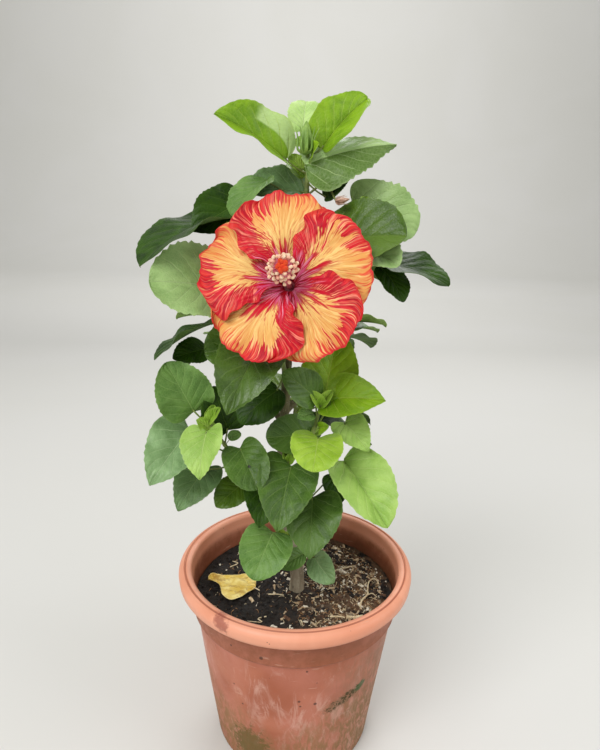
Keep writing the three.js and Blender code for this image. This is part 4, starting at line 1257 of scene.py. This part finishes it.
def blade_relief(share, across, size, phase):
    """How far the blade stands out between its veins, in millimetres."""
    off = np.abs(across)
    order = (share - VEIN_SLANT * off ** 0.82) / VEIN_SPACING + np.where(across > 0, 0.45, 0)
    bulge = np.abs(np.sin(math.pi * order)) ** 0.8 - 0.45
    fade = np.clip(off / 0.12, 0, 1) * (1 - off ** 5) * np.sin(math.pi * share) ** 0.5
    rib = np.exp(-(off / 0.07) ** 2) * (1 - share)
    edge = off ** 3 * (np.sin(10 * share + 1.7 * phase + 1.5 * across) * 0.6
                       + np.sin(23 * share + 3.1 * phase) * 0.25)
    return size / 80 * (0.62 * bulge * fade - 0.7 * rib + 2.3 * edge)


def teeth(share, across, size, depth, phase):
    """Blunt teeth that point forward, on the outer two thirds of the margin."""
    count = 11 + phase % 3
    run = (share * count + 0.3 * np.sign(across)) % 1
    tooth = np.where(run < 0.72, run / 0.72, (1 - run) / 0.28) - 0.5
    where = np.abs(across) ** 5 * np.clip((share - 0.22) * 5, 0, 1) * np.clip((1 - share) * 9, 0, 1)
    return size * depth * tooth * where


def blade(leaf):
    made = copy_of(blade_model, "blade")
    share, across = blade_share, blade_across
    lift = blade_relief(share, across, leaf.size, leaf.phase)
    widen = teeth(share, across, leaf.size, TEETH.get(leaf.tone, 0.02), leaf.phase)
    put_points(made, leaf.point(share, across, lift, widen) * MM)
    put_map(made, "blade", across / 2 + 0.5, share)
    put_map(made, "blade_size", across * leaf.half * leaf.outline(share) / 100, share * leaf.size / 100)
    wear(made, leaf_looks[leaf.tone], under_looks["light" if leaf.tone in LIGHT_TONES else "dark"])
    apply_modifier(made, "SOLIDIFY", thickness=0.5 * MM, offset=0, material_offset=1, material_offset_rim=0)
    return made

# %% [markdown]
# Each mass of foliage becomes one piece of leaves, which replaces its solid. Young leaves stand half folded at
# a shoot's tip, and small side sprigs fill the nodes, as they do on the living shrub, within the same reach.

# %% Leaves of every shoot
def sprig_leaves(seed, leaves, start, end):
    """Small leaves that sprout where the larger ones leave the shoot."""
    roll = dice(seed + 2)
    made = []
    for i, leaf in enumerate(leaves):
        if roll() < 0.35:
            continue
        outward = math.degrees(math.atan2(leaf.base[1] - leaf.node[1], leaf.base[0] - leaf.node[0]))
        turn = outward + mix(-50, 50, roll())
        size = mix(15, 27, roll())
        row = (turn, mix(25, 60, roll()), size * mix(0.35, 0.6, roll()), turn + mix(-25, 25, roll()),
               mix(-5, 45, roll()), size, mix(-25, 25, roll()))
        made.append(Leaf(leaf.node, row, TO_VIEWER if start[1] < 20 else direction(turn, 50), roll,
                         ("young", "lime", "mid")[i % 3]))
    return made


stalk_leaves = []
for name, (leaves, start, end) in growth.items():
    seed = (SHOOTS.get(name) or UNSEEN_SHOOTS[name])[0]
    small = sprig_leaves(seed, leaves, start, end)
    tips = [] if name == "crown" else young_leaves(seed, start, end)
    for leaf in tips:
        leaf.fold = math.radians(48)
    made = [blade(leaf) for leaf in leaves + small + tips]
    stalk_leaves += leaves + small
    mass = joined("leaves_" + name, made)
    smooth(mass, 55)
    finished(mass, "leaf", "foliage_" + name)

# %% [markdown]
# Green shoots and leaf stalks are one joined piece. A shoot is a limb that thins to its tip and swells a little
# where each leaf leaves it. A leaf stalk bows slightly under its leaf's weight and thickens at both ends.

# %% Shoots and stalks
shoot_look = plain_look("green_shoot", rgb(98, 116, 54), rgb(126, 148, 70), 0.5, 70.0, 0.0002, 0.5, rgb(122, 96, 62))


def shoot_radius(count):
    def radius_at(share, angle):
        swell = 0.5 * np.exp(-(((share * count) % 1 - 0.5) / 0.09) ** 2)
        return mix(3.2, 1.5, share) + swell + 0.12 * np.sin(3 * angle + 20 * share)

    return radius_at


def stalk_radius(share, angle):
    return 1.05 + 0.5 * np.exp(-share / 0.08) + 0.4 * np.exp(-(1 - share) / 0.07) + 0.08 * np.sin(2 * angle)


greens = []
for name, (leaves, start, end) in growth.items():
    middle = mix(np.array(start), np.array(end), 0.5)
    greens.append(limb("shoot", [start, middle, end], shoot_radius(len(leaves)), 12, 40))
for leaf in stalk_leaves:
    foot, head = leaf.node, leaf.point([0.05], [0.0])[0]
    reach = np.linalg.norm(head - foot)
    size = min(1.0, leaf.size / 40)
    line = [foot, mix(foot, head, 0.5) + np.array([0, 0, -0.05 * reach]), head]
    greens.append(limb("stalk", line, lambda s, a, size=size: stalk_radius(s, a) * size, 8, 10))
print("shoots and stalks", len(greens))

# %% [markdown]
# Two flowers are still in bud: a plump green one on the crown's tip, and a small one beside the bloom. A bud is
# a turned form too, but its five sepals meet in ridges, and under it stands a ring of narrow green bracts.

# %% Buds
calyx_look = plain_look("green_calyx", rgb(116, 152, 62), rgb(150, 182, 88), 0.5, 90.0, 0.0002, 0.6, rgb(96, 126, 52))
blush_bud = plain_look("blushed_bud", rgb(150, 108, 84), rgb(206, 168, 146), 0.5, 160.0, 0.0002, 0.6)

BUD_PROFILE = [(0, -3), (2.2, -2.6), (3.6, -1), (5, 1.6), (6, 5), (6.8, 8.5), (7, 12), (6.6, 16), (5.6, 20),
               (4.2, 23.6), (2.7, 26.6), (1.2, 29), (0, 30)]


def set_up(thing, place, heading, scale=1.0):
    """Turns a form that stands on the origin to point along heading, and carries it to its place."""
    turn = Vector((0, 0, 1)).rotation_difference(Vector(heading)).to_matrix().to_4x4()
    thing.data.transform(Matrix.Translation(Vector(place) * MM) @ turn @ Matrix.Scale(scale, 4))


def flat_bract(share, angle):
    return (1.7 * (1 - share) ** 0.55 + 0.15) * (0.45 + 0.55 * np.abs(np.sin(angle)))


def bud(name, place, heading, scale, look, bracts, splay):
    made = turned(name, BUD_PROFILE, 40)
    places = points_of(made)
    angle = np.arctan2(places[:, 1], places[:, 0]) + places[:, 2] * 14
    share = np.clip(places[:, 2] / (BUD_PROFILE[-1][1] * MM), 0, 1)
    places[:, :2] *= (1 + 0.16 * np.abs(np.cos(2.5 * angle)) ** 3 - 0.14 - 0.16 * share)[:, None]
    put_points(made, places)
    forms = [made]
    for k in range(bracts):
        c, s = math.cos(math.tau * k / bracts), math.sin(math.tau * k / bracts)
        open_by = splay * (1.2 if k % 3 else 1.9)
        line = [(r * c, r * s, z) for r, z in ((2.5, -1), (8, 2), (8.6, 12), (8.6 + open_by, 24))]
        forms.append(limb("bract", line, flat_bract, 8, 12))
    whole = joined(name, forms)
    set_up(whole, place, heading, scale)
    wear(whole, look)
    return whole


CROWN_BUD, SMALL_BUD = (1.8, -9.0, 744.0), (37, -14, 694)
greens.append(limb("crown_bud_stalk", [(6, 4, 738), (4, -3, 742), CROWN_BUD], tapering(2.2, 1.8), 8, 12))
crown_foot, crown_tip = np.array(SHOOTS["crown"][1:3], float)
bud_line = [mix(crown_foot, crown_tip, 0.12), (24, 2, 712), SMALL_BUD]
greens.append(limb("bud_stalk", bud_line, tapering(1.3, 1.15), 8, 16))
for thing in greens:
    wear(thing, shoot_look)
greens += [bud("crown_bud", CROWN_BUD, direction(60, 86), 1.05, calyx_look, 9, 2.4),
           bud("small_bud", SMALL_BUD, direction(-20, 10), 0.5, blush_bud, 6, 1.0)]
shoots = joined("shoots_and_buds", greens)
smooth(shoots, 60)
finished(shoots, "leaf")

# %% [markdown]
# The bloom's frame. Everything of the flower is placed by one rule: a point is so far from the axis, at such an
# angle round it, and so far out along it. The axis leans a little up and to the left, as the flower faces.

# %% The bloom's frame
BLOOM_SEAT = np.array([-12.0, -44.0, 605.0])
bloom_axis = direction(-98, 20)
bloom_over = unit(np.array([0, 0, 1.0]) - bloom_axis * bloom_axis[2])
bloom_side = np.cross(bloom_over, bloom_axis)


def bloom_point(radius, angle, out):
    radius, angle, out = np.broadcast_arrays(*[np.asarray(v, float) for v in (radius, angle, out)])
    return (BLOOM_SEAT + (radius * np.cos(angle))[..., None] * bloom_over
            - (radius * np.sin(angle))[..., None] * bloom_side + out[..., None] * bloom_axis)


def petal_place(index, share, across):
    """The source's petal, with the ruffles of a real one: deep folds at the rim and fine ribs along it."""
    radius = mix(6.5, 95, share ** 1.35)
    height = 37 * np.sin(np.minimum(share / 0.62, 1) * math.pi / 2) ** 0.9
    opening = mix(31, 55, np.minimum(1, share * 2.2))
    spread = np.radians(opening * (1 - np.minimum(share, 0.999) ** 7) ** 0.35)
    angle = math.radians(5) + math.tau * index / 5 + across * spread
    twist = 5.5 * np.minimum(1, share * 3) * across
    ripple = 2.2 * share ** 2 * np.sin(9 * across + 2 * index)
    tip = 1 - 0.07 * across ** 2
    rim = np.maximum(share ** 4, 0.9 * np.abs(across) ** 6 * np.minimum(1, share * 1.5))
    bend = 0.6 * np.sin(2.3 * index + 3 * share)
    ruffle = rim * (2.6 * np.sin(8.5 * across + 7 * share + 1.3 * index + bend)
                    + 0.9 * np.sin(21 * across - 6 * share + index))
    over = np.clip(across, 0, 1) ** 4 * np.minimum(1, share * 2)
    ruffle = ruffle + over * (3.4 * np.sin(13.5 * share + 2.1 * index + 2 * across)
                              + 1.2 * np.sin(31 * share + index))
    billow = 1.8 * share ** 1.5 * np.sin(6.5 * across + 4 * share + 1.9 * index)
    ribs = 0.4 * np.sin(58 * across + 1.4 * np.sin(5 * share + index)) * np.sin(math.pi * share) ** 0.7
    notch = 1 + share ** 4 * (0.016 * np.sin(9.5 * across + 2.1 * index) + 0.009 * np.sin(19 * across + 1.7 * index)
                              + 0.005 * np.sin(41 * across + index))
    scallop = np.radians(3.4) * np.sign(across) * np.abs(across) ** 5 * (
        np.sin(14 * share + 1.9 * index) + 0.6 * np.sin(29 * share + index)) * np.minimum(1, share * 2)
    out = 1 + height + twist + ripple - 6 * share ** 3 + ruffle + billow + ribs
    return bloom_point(radius * tip * notch, angle + scallop, out)


# %% [markdown]
# Petal paint. Seen from the front, every petal is golden, paler toward the heart and orange toward its rim, with
# a crimson margin along the side that lies over its neighbour. Nothing has a straight border: pale rays run out
# through the crimson like brush strokes, crimson flecks run back into the gold, and short red hairs fringe the
# whole rim. Toward the heart crimson and mauve rays mix, and the throat is deep crimson. A petal's veins leave
# its foot close together and curve away to both sides, so they meet the rim nearly square. "fan" is a field
# that is constant along such a vein, and noise stretched along it gives rays of four widths. One more field is
# high where crimson should be, and the rays push it up and down.

# %% Shared effect: petal paint
petal_paint, takes, way_out = new_group("petal_paint", dict(Petal="Vector", Seed="Float"),
                                        dict(Colour="Color", Ribs="Float"))
seed = takes["Seed"]
from_left, share, _ = xyz(takes["Petal"])
across = from_left * 2.0 - 1.0
side = abs(across)


def at(x, y):
    return Field(node(petal_paint, "CombineXYZ", {0: x, 1: y, 2: seed}).outputs[0])


sway = (grain(at(from_left, share), 6.0, 2.0) - 0.5) * 0.06
straight = across + sway
leaning = straight / larger(share, 0.06) ** 1.6
fan = leaning / (abs(leaning) * 0.5 + 1.0)
run = side * 0.4 + share


def rays(thin, long, detail=2.0, line=fan):
    """Noise stretched along the veins: thin is how many rays there are, long how often they change."""
    return between(grain(at(line * thin, run * long), 1.0, detail, 0.6), 0.3, 0.7)


def pushed_by(field, *pushes):
    for noise_value, strength in pushes:
        field = (noise_value - 0.5) * strength + field
    return field


def dab(share_of, strength, under, over):
    return blended(share_of * strength, under, over)


lobes, wide_rays, rays_mid, hairs = rays(3.4, 2.6, 3.0), rays(8.5, 2.0), rays(20.0, 2.4), rays(44.0, 3.5)
band = between(across, 0.12, 0.82) * between(share, 0.2, 0.44)
outer = between(share, 0.64, 0.97) * between(across, -0.6, 0.3)
deep_side = between(across, 0.2, 0.8) * between(share, 0.1, 0.3)
where_crimson = larger(larger(band, outer * 0.82), deep_side * 0.85)
pushed = pushed_by(where_crimson, (lobes, 0.34), (wide_rays, 0.26), (rays_mid, 0.4), (hairs, 0.24))
crimson = between(pushed, 0.45, 0.54)

gold = blended(between(share, 0.36, 0.95), rgb(238, 200, 122), rgb(220, 150, 80))
gold = dab(wide_rays, 0.35, gold, rgb(230, 180, 92))
gold = dab(between(rays_mid, 0.45, 0.8), 0.5, gold, rgb(250, 218, 142))
gold = dab(between(hairs, 0.62, 0.86), 0.5, gold, rgb(214, 108, 48))
red = blended(lobes, rgb(166, 2, 28), rgb(206, 4, 34))
red = dab(between(rays_mid, 0.5, 0.9), 0.5, red, rgb(220, 22, 50))
red = dab(between(hairs, 0.4, 0.2), 0.4, red, rgb(136, 0, 24))
colour = blended(crimson, gold, red)

# Pale rays over the crimson, crimson flecks in the gold, and the fringe along the rim.
pale_ray = blended(between(where_crimson, 0.5, 1.0), rgb(250, 206, 138), rgb(240, 132, 110))
streaks = between(rays(27.0, 1.0, 1.0), 0.68, 0.84) * between(pushed, 1.16, 0.76) * between(share, 0.2, 0.4)
colour = dab(streaks * crimson, 0.9, colour, pale_ray)
thin_streaks = between(rays(52.0, 1.6, 1.0), 0.66, 0.82) * between(share, 0.25, 0.45)
colour = dab(thin_streaks * crimson, 0.35, colour, rgb(244, 150, 118))
flecks = between(rays(17.0, 7.5, 1.0), 0.8, 0.92) * between(share, 0.8, 0.45) * between(share, 0.26, 0.38)
colour = dab(flecks, 0.85, colour, rgb(192, 22, 34))
edge = larger(share, between(side, 0.5, 1.04))
colour = dab(between(pushed_by(edge, (hairs, 0.3), (rays_mid, 0.16)), 0.86, 1.04), 0.8, colour, rgb(214, 52, 42))
colour = dab(between(edge, 0.972, 0.992), 0.85, colour, rgb(200, 26, 40))

# The heart: rays that run straight out of the throat, crimson first and then mixed with mauve.
wide_straight, mid_straight, fine_straight = [
    rays(thin, long, line=straight) for thin, long in ((5.0, 1.6), (15.0, 1.6), (34.0, 2.0))]
base_line = pushed_by(share, (wide_straight, 0.32), (mid_straight, 0.17), (fine_straight, 0.08))
colour = dab(between(base_line, 0.50, 0.42), 0.9, colour, rgb(192, 8, 40))
mauve = blended(between(wide_straight, 0.42, 0.75), rgb(204, 2, 38), rgb(232, 100, 152))
mauve = dab(between(mid_straight, 0.52, 0.7), 0.8, mauve, rgb(240, 160, 186))
mauve = dab(between(fine_straight, 0.55, 0.8), 0.35, mauve, rgb(166, 2, 36))
colour = blended(between(base_line, 0.44, 0.33), colour, mauve)
give(way_out, Colour=blended(between(base_line, 0.22, 0.12), colour, rgb(158, 0, 22)), Ribs=hairs + rays_mid * 0.6)

# %% [markdown]
# A petal is made as the leaves are: a grid, carried to its place and then given its thickness. It has many more
# rows and columns, because its rim is ruffled and its face finely ribbed.

# %% Petals
PETAL_ROWS, PETAL_COLUMNS = 72, 96
petal_model = grid("petal_model", PETAL_COLUMNS, PETAL_ROWS, "petal")
model = points_of(petal_model)
petal_across = np.sin(model[:, 0] * math.pi / 2) * 0.35 + model[:, 0] * 0.65
petal_line = (model[:, 1] + 1) / 2
petal_share = np.sin(petal_line * math.pi / 2) * 0.45 + petal_line * 0.55
for index in range(5):
    look = Look("petal_%d" % (index + 1), 0.55, gloss=0.25)
    painted = placed(look.tree, petal_paint, Petal=uv_map(look.tree, "petal"), Seed=3.7 * index)
    look.lay(painted["Colour"])
    one = copy_of(petal_model, "bloom_petal_look_%d" % (index + 1))
    put_points(one, petal_place(index, petal_share * 0.97, petal_across) * MM)
    put_map(one, "petal", petal_across / 2 + 0.5, petal_share)
    wear(one, look.finish(painted["Ribs"] * 0.08 + 0.46, painted["Ribs"], 0.0004, 0.6))
    apply_modifier(one, "SOLIDIFY", thickness=0.6 * MM, offset=0)
    smooth(one, 70)
    finished(one, "petal", "bloom_petal_%d" % (index + 1))
bpy.data.objects.remove(petal_model)
bpy.data.objects.remove(blade_model)

# %% [markdown]
# The column at the heart. A pale rose tube rises out of a dark crimson throat and carries a brush of stamens:
# short filaments, each with a cream pollen head, round the upper third. Then come five short arms that end in
# orange-red velvet pads, close together round one more in the middle. The pollen head is modelled once from an
# icosphere, pressed flat like a bean, and copied. The throat is a turned funnel that closes the petals' foot.

# %% The column
COLUMN_TIP = np.array([-18.7, -103.0, 632.5])


def column_centre(share):
    return mix(bloom_point(0, 0, 0.3), COLUMN_TIP, share)


tube_look, pollen_look, blush_look, pad_look, throat_look = [plain_look(*row) for row in (
    ("column_rose", rgb(214, 110, 134), rgb(238, 160, 166), 0.5, 160.0, 0.0002),
    ("pollen_cream", rgb(255, 204, 160), rgb(255, 234, 206), 0.85, 700.0, 0.0003),
    ("pollen_blush", rgb(252, 172, 146), rgb(255, 208, 180), 0.85, 700.0, 0.0003),
    ("stigma_orange", rgb(232, 40, 4), rgb(255, 92, 20), 0.7, 700.0, 0.0005),
    ("throat_crimson", rgb(88, 0, 14), rgb(128, 2, 26), 0.6, 200.0, 0.0002))]

bead = primitive(bpy.ops.mesh.primitive_ico_sphere_add, "bead_model", subdivisions=2, radius=1)
column = [limb("tube", [column_centre(s) for s in (0, 0.5, 1)],
               lambda s, a: 2.4 * mix(1.35, 0.8, s) + 0.1 * np.sin(5 * a), 14, 40)]
wear(column[0], tube_look)
THROAT_PROFILE = [(0, 0.6), (6.4, 0.9), (8.9, 5.5), (11.2, 10.5), (12.4, 13.2), (12.9, 13.0), (11.8, 9.9), (9.5, 4.9),
                  (7.1, 0.3), (0, -0.2)]
throat = turned("throat", along_line(THROAT_PROFILE, 2), 40)
set_up(throat, BLOOM_SEAT, bloom_axis)
wear(throat, throat_look)
column.append(throat)
roll = dice(7)


def headed(root, end, thickness, shape, head_look, seed):
    """A filament from root to end, bowed outwards, and its head."""
    middle = mix(root, end, 0.55) - bloom_axis * 1.0
    stalk = limb("filament", [root, middle, end], tapering(thickness * 1.2, thickness), 5, 5)
    wear(stalk, tube_look)
    head = copy_of(bead, "head")
    round_head = points_of(head)
    lumps = np.array([noise.noise_vector(Vector(p) * 2 + Vector((seed, 0, 0))) for p in round_head])
    places = round_head * shape + lumps * 0.35
    places[:, 2] -= 0.25 * places[:, 0] ** 2
    put_points(head, places * MM)
    head.data.transform(Matrix.Rotation(seed * 1.3, 4, "Z"))
    set_up(head, end, unit(end - root + bloom_axis * 2))
    wear(head, head_look)
    return [stalk, head]


STAMENS = 50
to_camera = direction(-88, 6)
for k in range(STAMENS):
    share = mix(0.72, 1.0, (k + 0.5) / STAMENS)
    angle = k * math.radians(137.5)
    reach = mix(11.5, 16.0, roll()) * mix(1.0, 0.68, max(0, share - 0.84) * 6.2)
    root = column_centre(share) + (bloom_point(2.0, angle, 0) - BLOOM_SEAT)
    end = column_centre(share) + (bloom_point(reach, angle, mix(3, 6, roll())) - BLOOM_SEAT)
    column += headed(root, end, 0.28, (2.5, 1.8, 1.7), (pollen_look, blush_look)[k % 3 == 0], k)
root = column_centre(0.98)
for k in range(5):
    angle = math.tau * (k + 0.3) / 5
    end = root + (bloom_point(3.9, angle, 0) - BLOOM_SEAT) * np.array([1, 1, 1.25]) + to_camera * mix(8, 10, roll())
    column += headed(root, end, 0.7, (3.5, 3.4, 2.6), pad_look, k + 90)
column += headed(root, root + to_camera * 8.5, 0.7, (2.6, 2.6, 2.2), pad_look, 96)
bpy.data.objects.remove(bead)
column = joined("column_and_stamens", column)
smooth(column, 70)
finished(column, "column", "bloom_column")

# %% [markdown]
# Behind the petals a green cup holds them. It is turned like a bud, with five pointed lobes that reach up
# between the petals, a ring of narrow bracts and the flower's own stalk, which comes from the stem.

# %% The cup and stalk behind the bloom
CUP_PROFILE = [(0, -28), (2.6, -27.8), (4.4, -26), (6.6, -21), (8.2, -15), (8.8, -8), (9.0, -2), (8.6, 0), (7.4, -2),
               (4, -5), (0, -5.5)]
cup = turned("cup", along_line(CUP_PROFILE, 2), 50)
places = points_of(cup)
angle = np.arctan2(places[:, 1], places[:, 0])
lobes = np.abs(np.cos(2.5 * angle)) ** 1.5
edge = np.clip((places[:, 2] / MM + 8) / 8, 0, 1) * np.clip(np.hypot(places[:, 0], places[:, 1]) / MM / 6, 0, 1)
places[:, 2] -= edge * (1 - lobes) * 3.5 * MM
places[:, :2] *= (1 + 0.04 * lobes)[:, None]
put_points(cup, places)
set_up(cup, BLOOM_SEAT, bloom_axis)
back = bloom_point(0, 0, -27)
forms = [cup, limb("flower_stalk", [(-13, 1, 545), (-12, -9, 566), back + (0, 6, -12), back + bloom_axis * 3],
                   lambda s, a: mix(1.7, 2.6, s) + 0.5 * np.exp(-((s - 0.62) / 0.03) ** 2), 10, 40)]
for k in range(7):
    angle = math.tau * k / 7
    line = [bloom_point(r, angle, out) for r, out in ((3, -24), (10.5, -21), (14.5, -14), (15.5, -7))]
    forms.append(limb("bract", line, lambda s, a: 1.25 * (1 - s) ** 0.6 + 0.12, 6, 10))
for thing in forms:
    wear(thing, calyx_look)
cup = joined("cup_and_stalk", forms)
smooth(cup, 60)
finished(cup, "calyx", "bloom_calyx")

# %% [markdown]
# One leaf has dropped. It lies on the soil at the left, pale yellow with brown specks, its face crinkled and its
# edges lifted as it dries. It has kept its narrow tip, but its near side hangs down in a broad lobe and its far
# side has rolled in, so neither edge is the plain curve of a fresh leaf. Both edges are therefore laid out point
# by point, the grid is stretched between them, and sharp creases run outward from the midrib.

# %% The fallen leaf
look = Look("shed_leaf", 0.6, 70.0)
blade_map = uv_map(look.tree, "blade")
pattern = placed(look.tree, leaf_veins, Blade=blade_map, Size=uv_map(look.tree, "blade_size"))
look.lay(blended(look.broad, rgb(216, 182, 70), rgb(240, 220, 136)))
look.lay(rgb(196, 160, 74), pattern["Veins"], 0.35)
specks = between(grain(look.place, 380.0, 1.0), 0.64, 0.7) * between(xyz(blade_map)[1], 0.5, 0.2)
look.lay(rgb(150, 78, 40), specks, 0.8)
# Brown streaks along the crinkles: partly the dry leaf's browning, partly painted shade in its creases.
crinkles = between(grain(stretched(look.place, (60.0, 150.0, 60.0), (0, 0, 0.6)), 1.0, 3.0, 0.6), 0.52, 0.66)
look.lay(rgb(160, 116, 48), crinkles, 0.6)
# Painted highlight: the lifted edges are paler, where they catch the light.
look.lay(rgb(246, 230, 170), pattern["Margin"], 0.6)
shed_look = look.finish(crinkles * 0.2 + 0.55, look.fine * 0.5 + pattern["Veins"], 0.0005, 0.7)

FAR_EDGE = [(-51.2, -9.9), (-52.5, 1.8), (-58.2, 6.3), (-68.2, 11.9), (-79.4, 8.8), (-87.7, 6.2), (-102.2, 8),
            (-111.2, 9.9), (-115.4, 4)]
NEAR_EDGE = [(-51.2, -10.5), (-54.1, -19.2), (-61.8, -26.9), (-68.3, -35.7), (-78.5, -41.9), (-85, -39.9),
             (-88.2, -35.7), (-93, -29.4), (-96, -17.6), (-101.1, -7), (-108.3, -2.5), (-115.4, 3)]


def along_edge(edge, share):
    line = smooth_line([(x, y, 0) for x, y in edge], 80)
    return np.stack([np.interp(share * 80, np.arange(81), line[:, k]) for k in (0, 1)], 1)


shed_leaf = grid("shed_leaf_look", 34, 64, "blade", "blade_size")
model = points_of(shed_leaf)
across, share = -model[:, 0], (model[:, 1] + 1) / 2
share = mix(share, 0.5 - 0.5 * np.cos(math.pi * share), 0.5)
near, off = across > 0, np.abs(across)
crease = np.abs(np.sin(math.pi * (3.3 * share - 0.9 * off + np.where(near, 0.1, 0.45)))) ** 0.7 - 0.55
fine = np.array([noise.noise(Vector((s * 9, a * 5, 3))) for s, a in zip(share, across)])
far_side, near_side = along_edge(FAR_EDGE, share), along_edge(NEAR_EDGE, share)
flat = mix(far_side, near_side, ((across + 1) / 2)[:, None])
flat[:, 1] -= 0.5 * across
edge_up = off ** 3 * np.where(near, 1.6, 3.4) * (0.8 + 0.5 * np.sin(8 * share + 1))
dome = 5.2 * np.sin(math.pi * np.clip(share * 1.05, 0, 1)) * (1 - 0.35 * off ** 2) + 5.0 * np.clip(share - 0.72, 0, 1)
ground = np.array([soil_height(x, y) for x, y in flat])
lift = np.maximum(2.3 * crease * np.clip(off * 3, 0, 1) * (1 - 0.4 * off) + 1.5 * fine + dome + edge_up, 0.8)
places = np.column_stack([flat, SOIL_LEVEL + np.maximum(0.8, 0.5 * ground + 0.8) + lift])
put_points(shed_leaf, places * MM)
wide = np.linalg.norm(far_side - near_side, axis=1) / 2
put_map(shed_leaf, "blade", across / 2 + 0.5, share)
put_map(shed_leaf, "blade_size", across * wide / 100, share * 0.66)
wear(shed_leaf, shed_look)
apply_modifier(shed_leaf, "SOLIDIFY", thickness=0.5 * MM, offset=0)
stalk_line = [lying(-58, -12, 4), lying(-50, -15, 3), lying(-41, -21, 1)]
shed_stalk = limb("shed_stalk", stalk_line, tapering(1.0, 0.7), 7, 12)
wear(shed_stalk, pale_root)
shed_leaf = joined("shed_leaf_look", [shed_leaf, shed_stalk])
smooth(shed_leaf, 60)
finished(shed_leaf, "shed_leaf", "fallen_leaf")

# %% [markdown]
# Last, the sizes.

# %% Sizes and finish
print("all triangles", sum(count for name, count in pieces), "in", len(pieces), "pieces")
low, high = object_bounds()
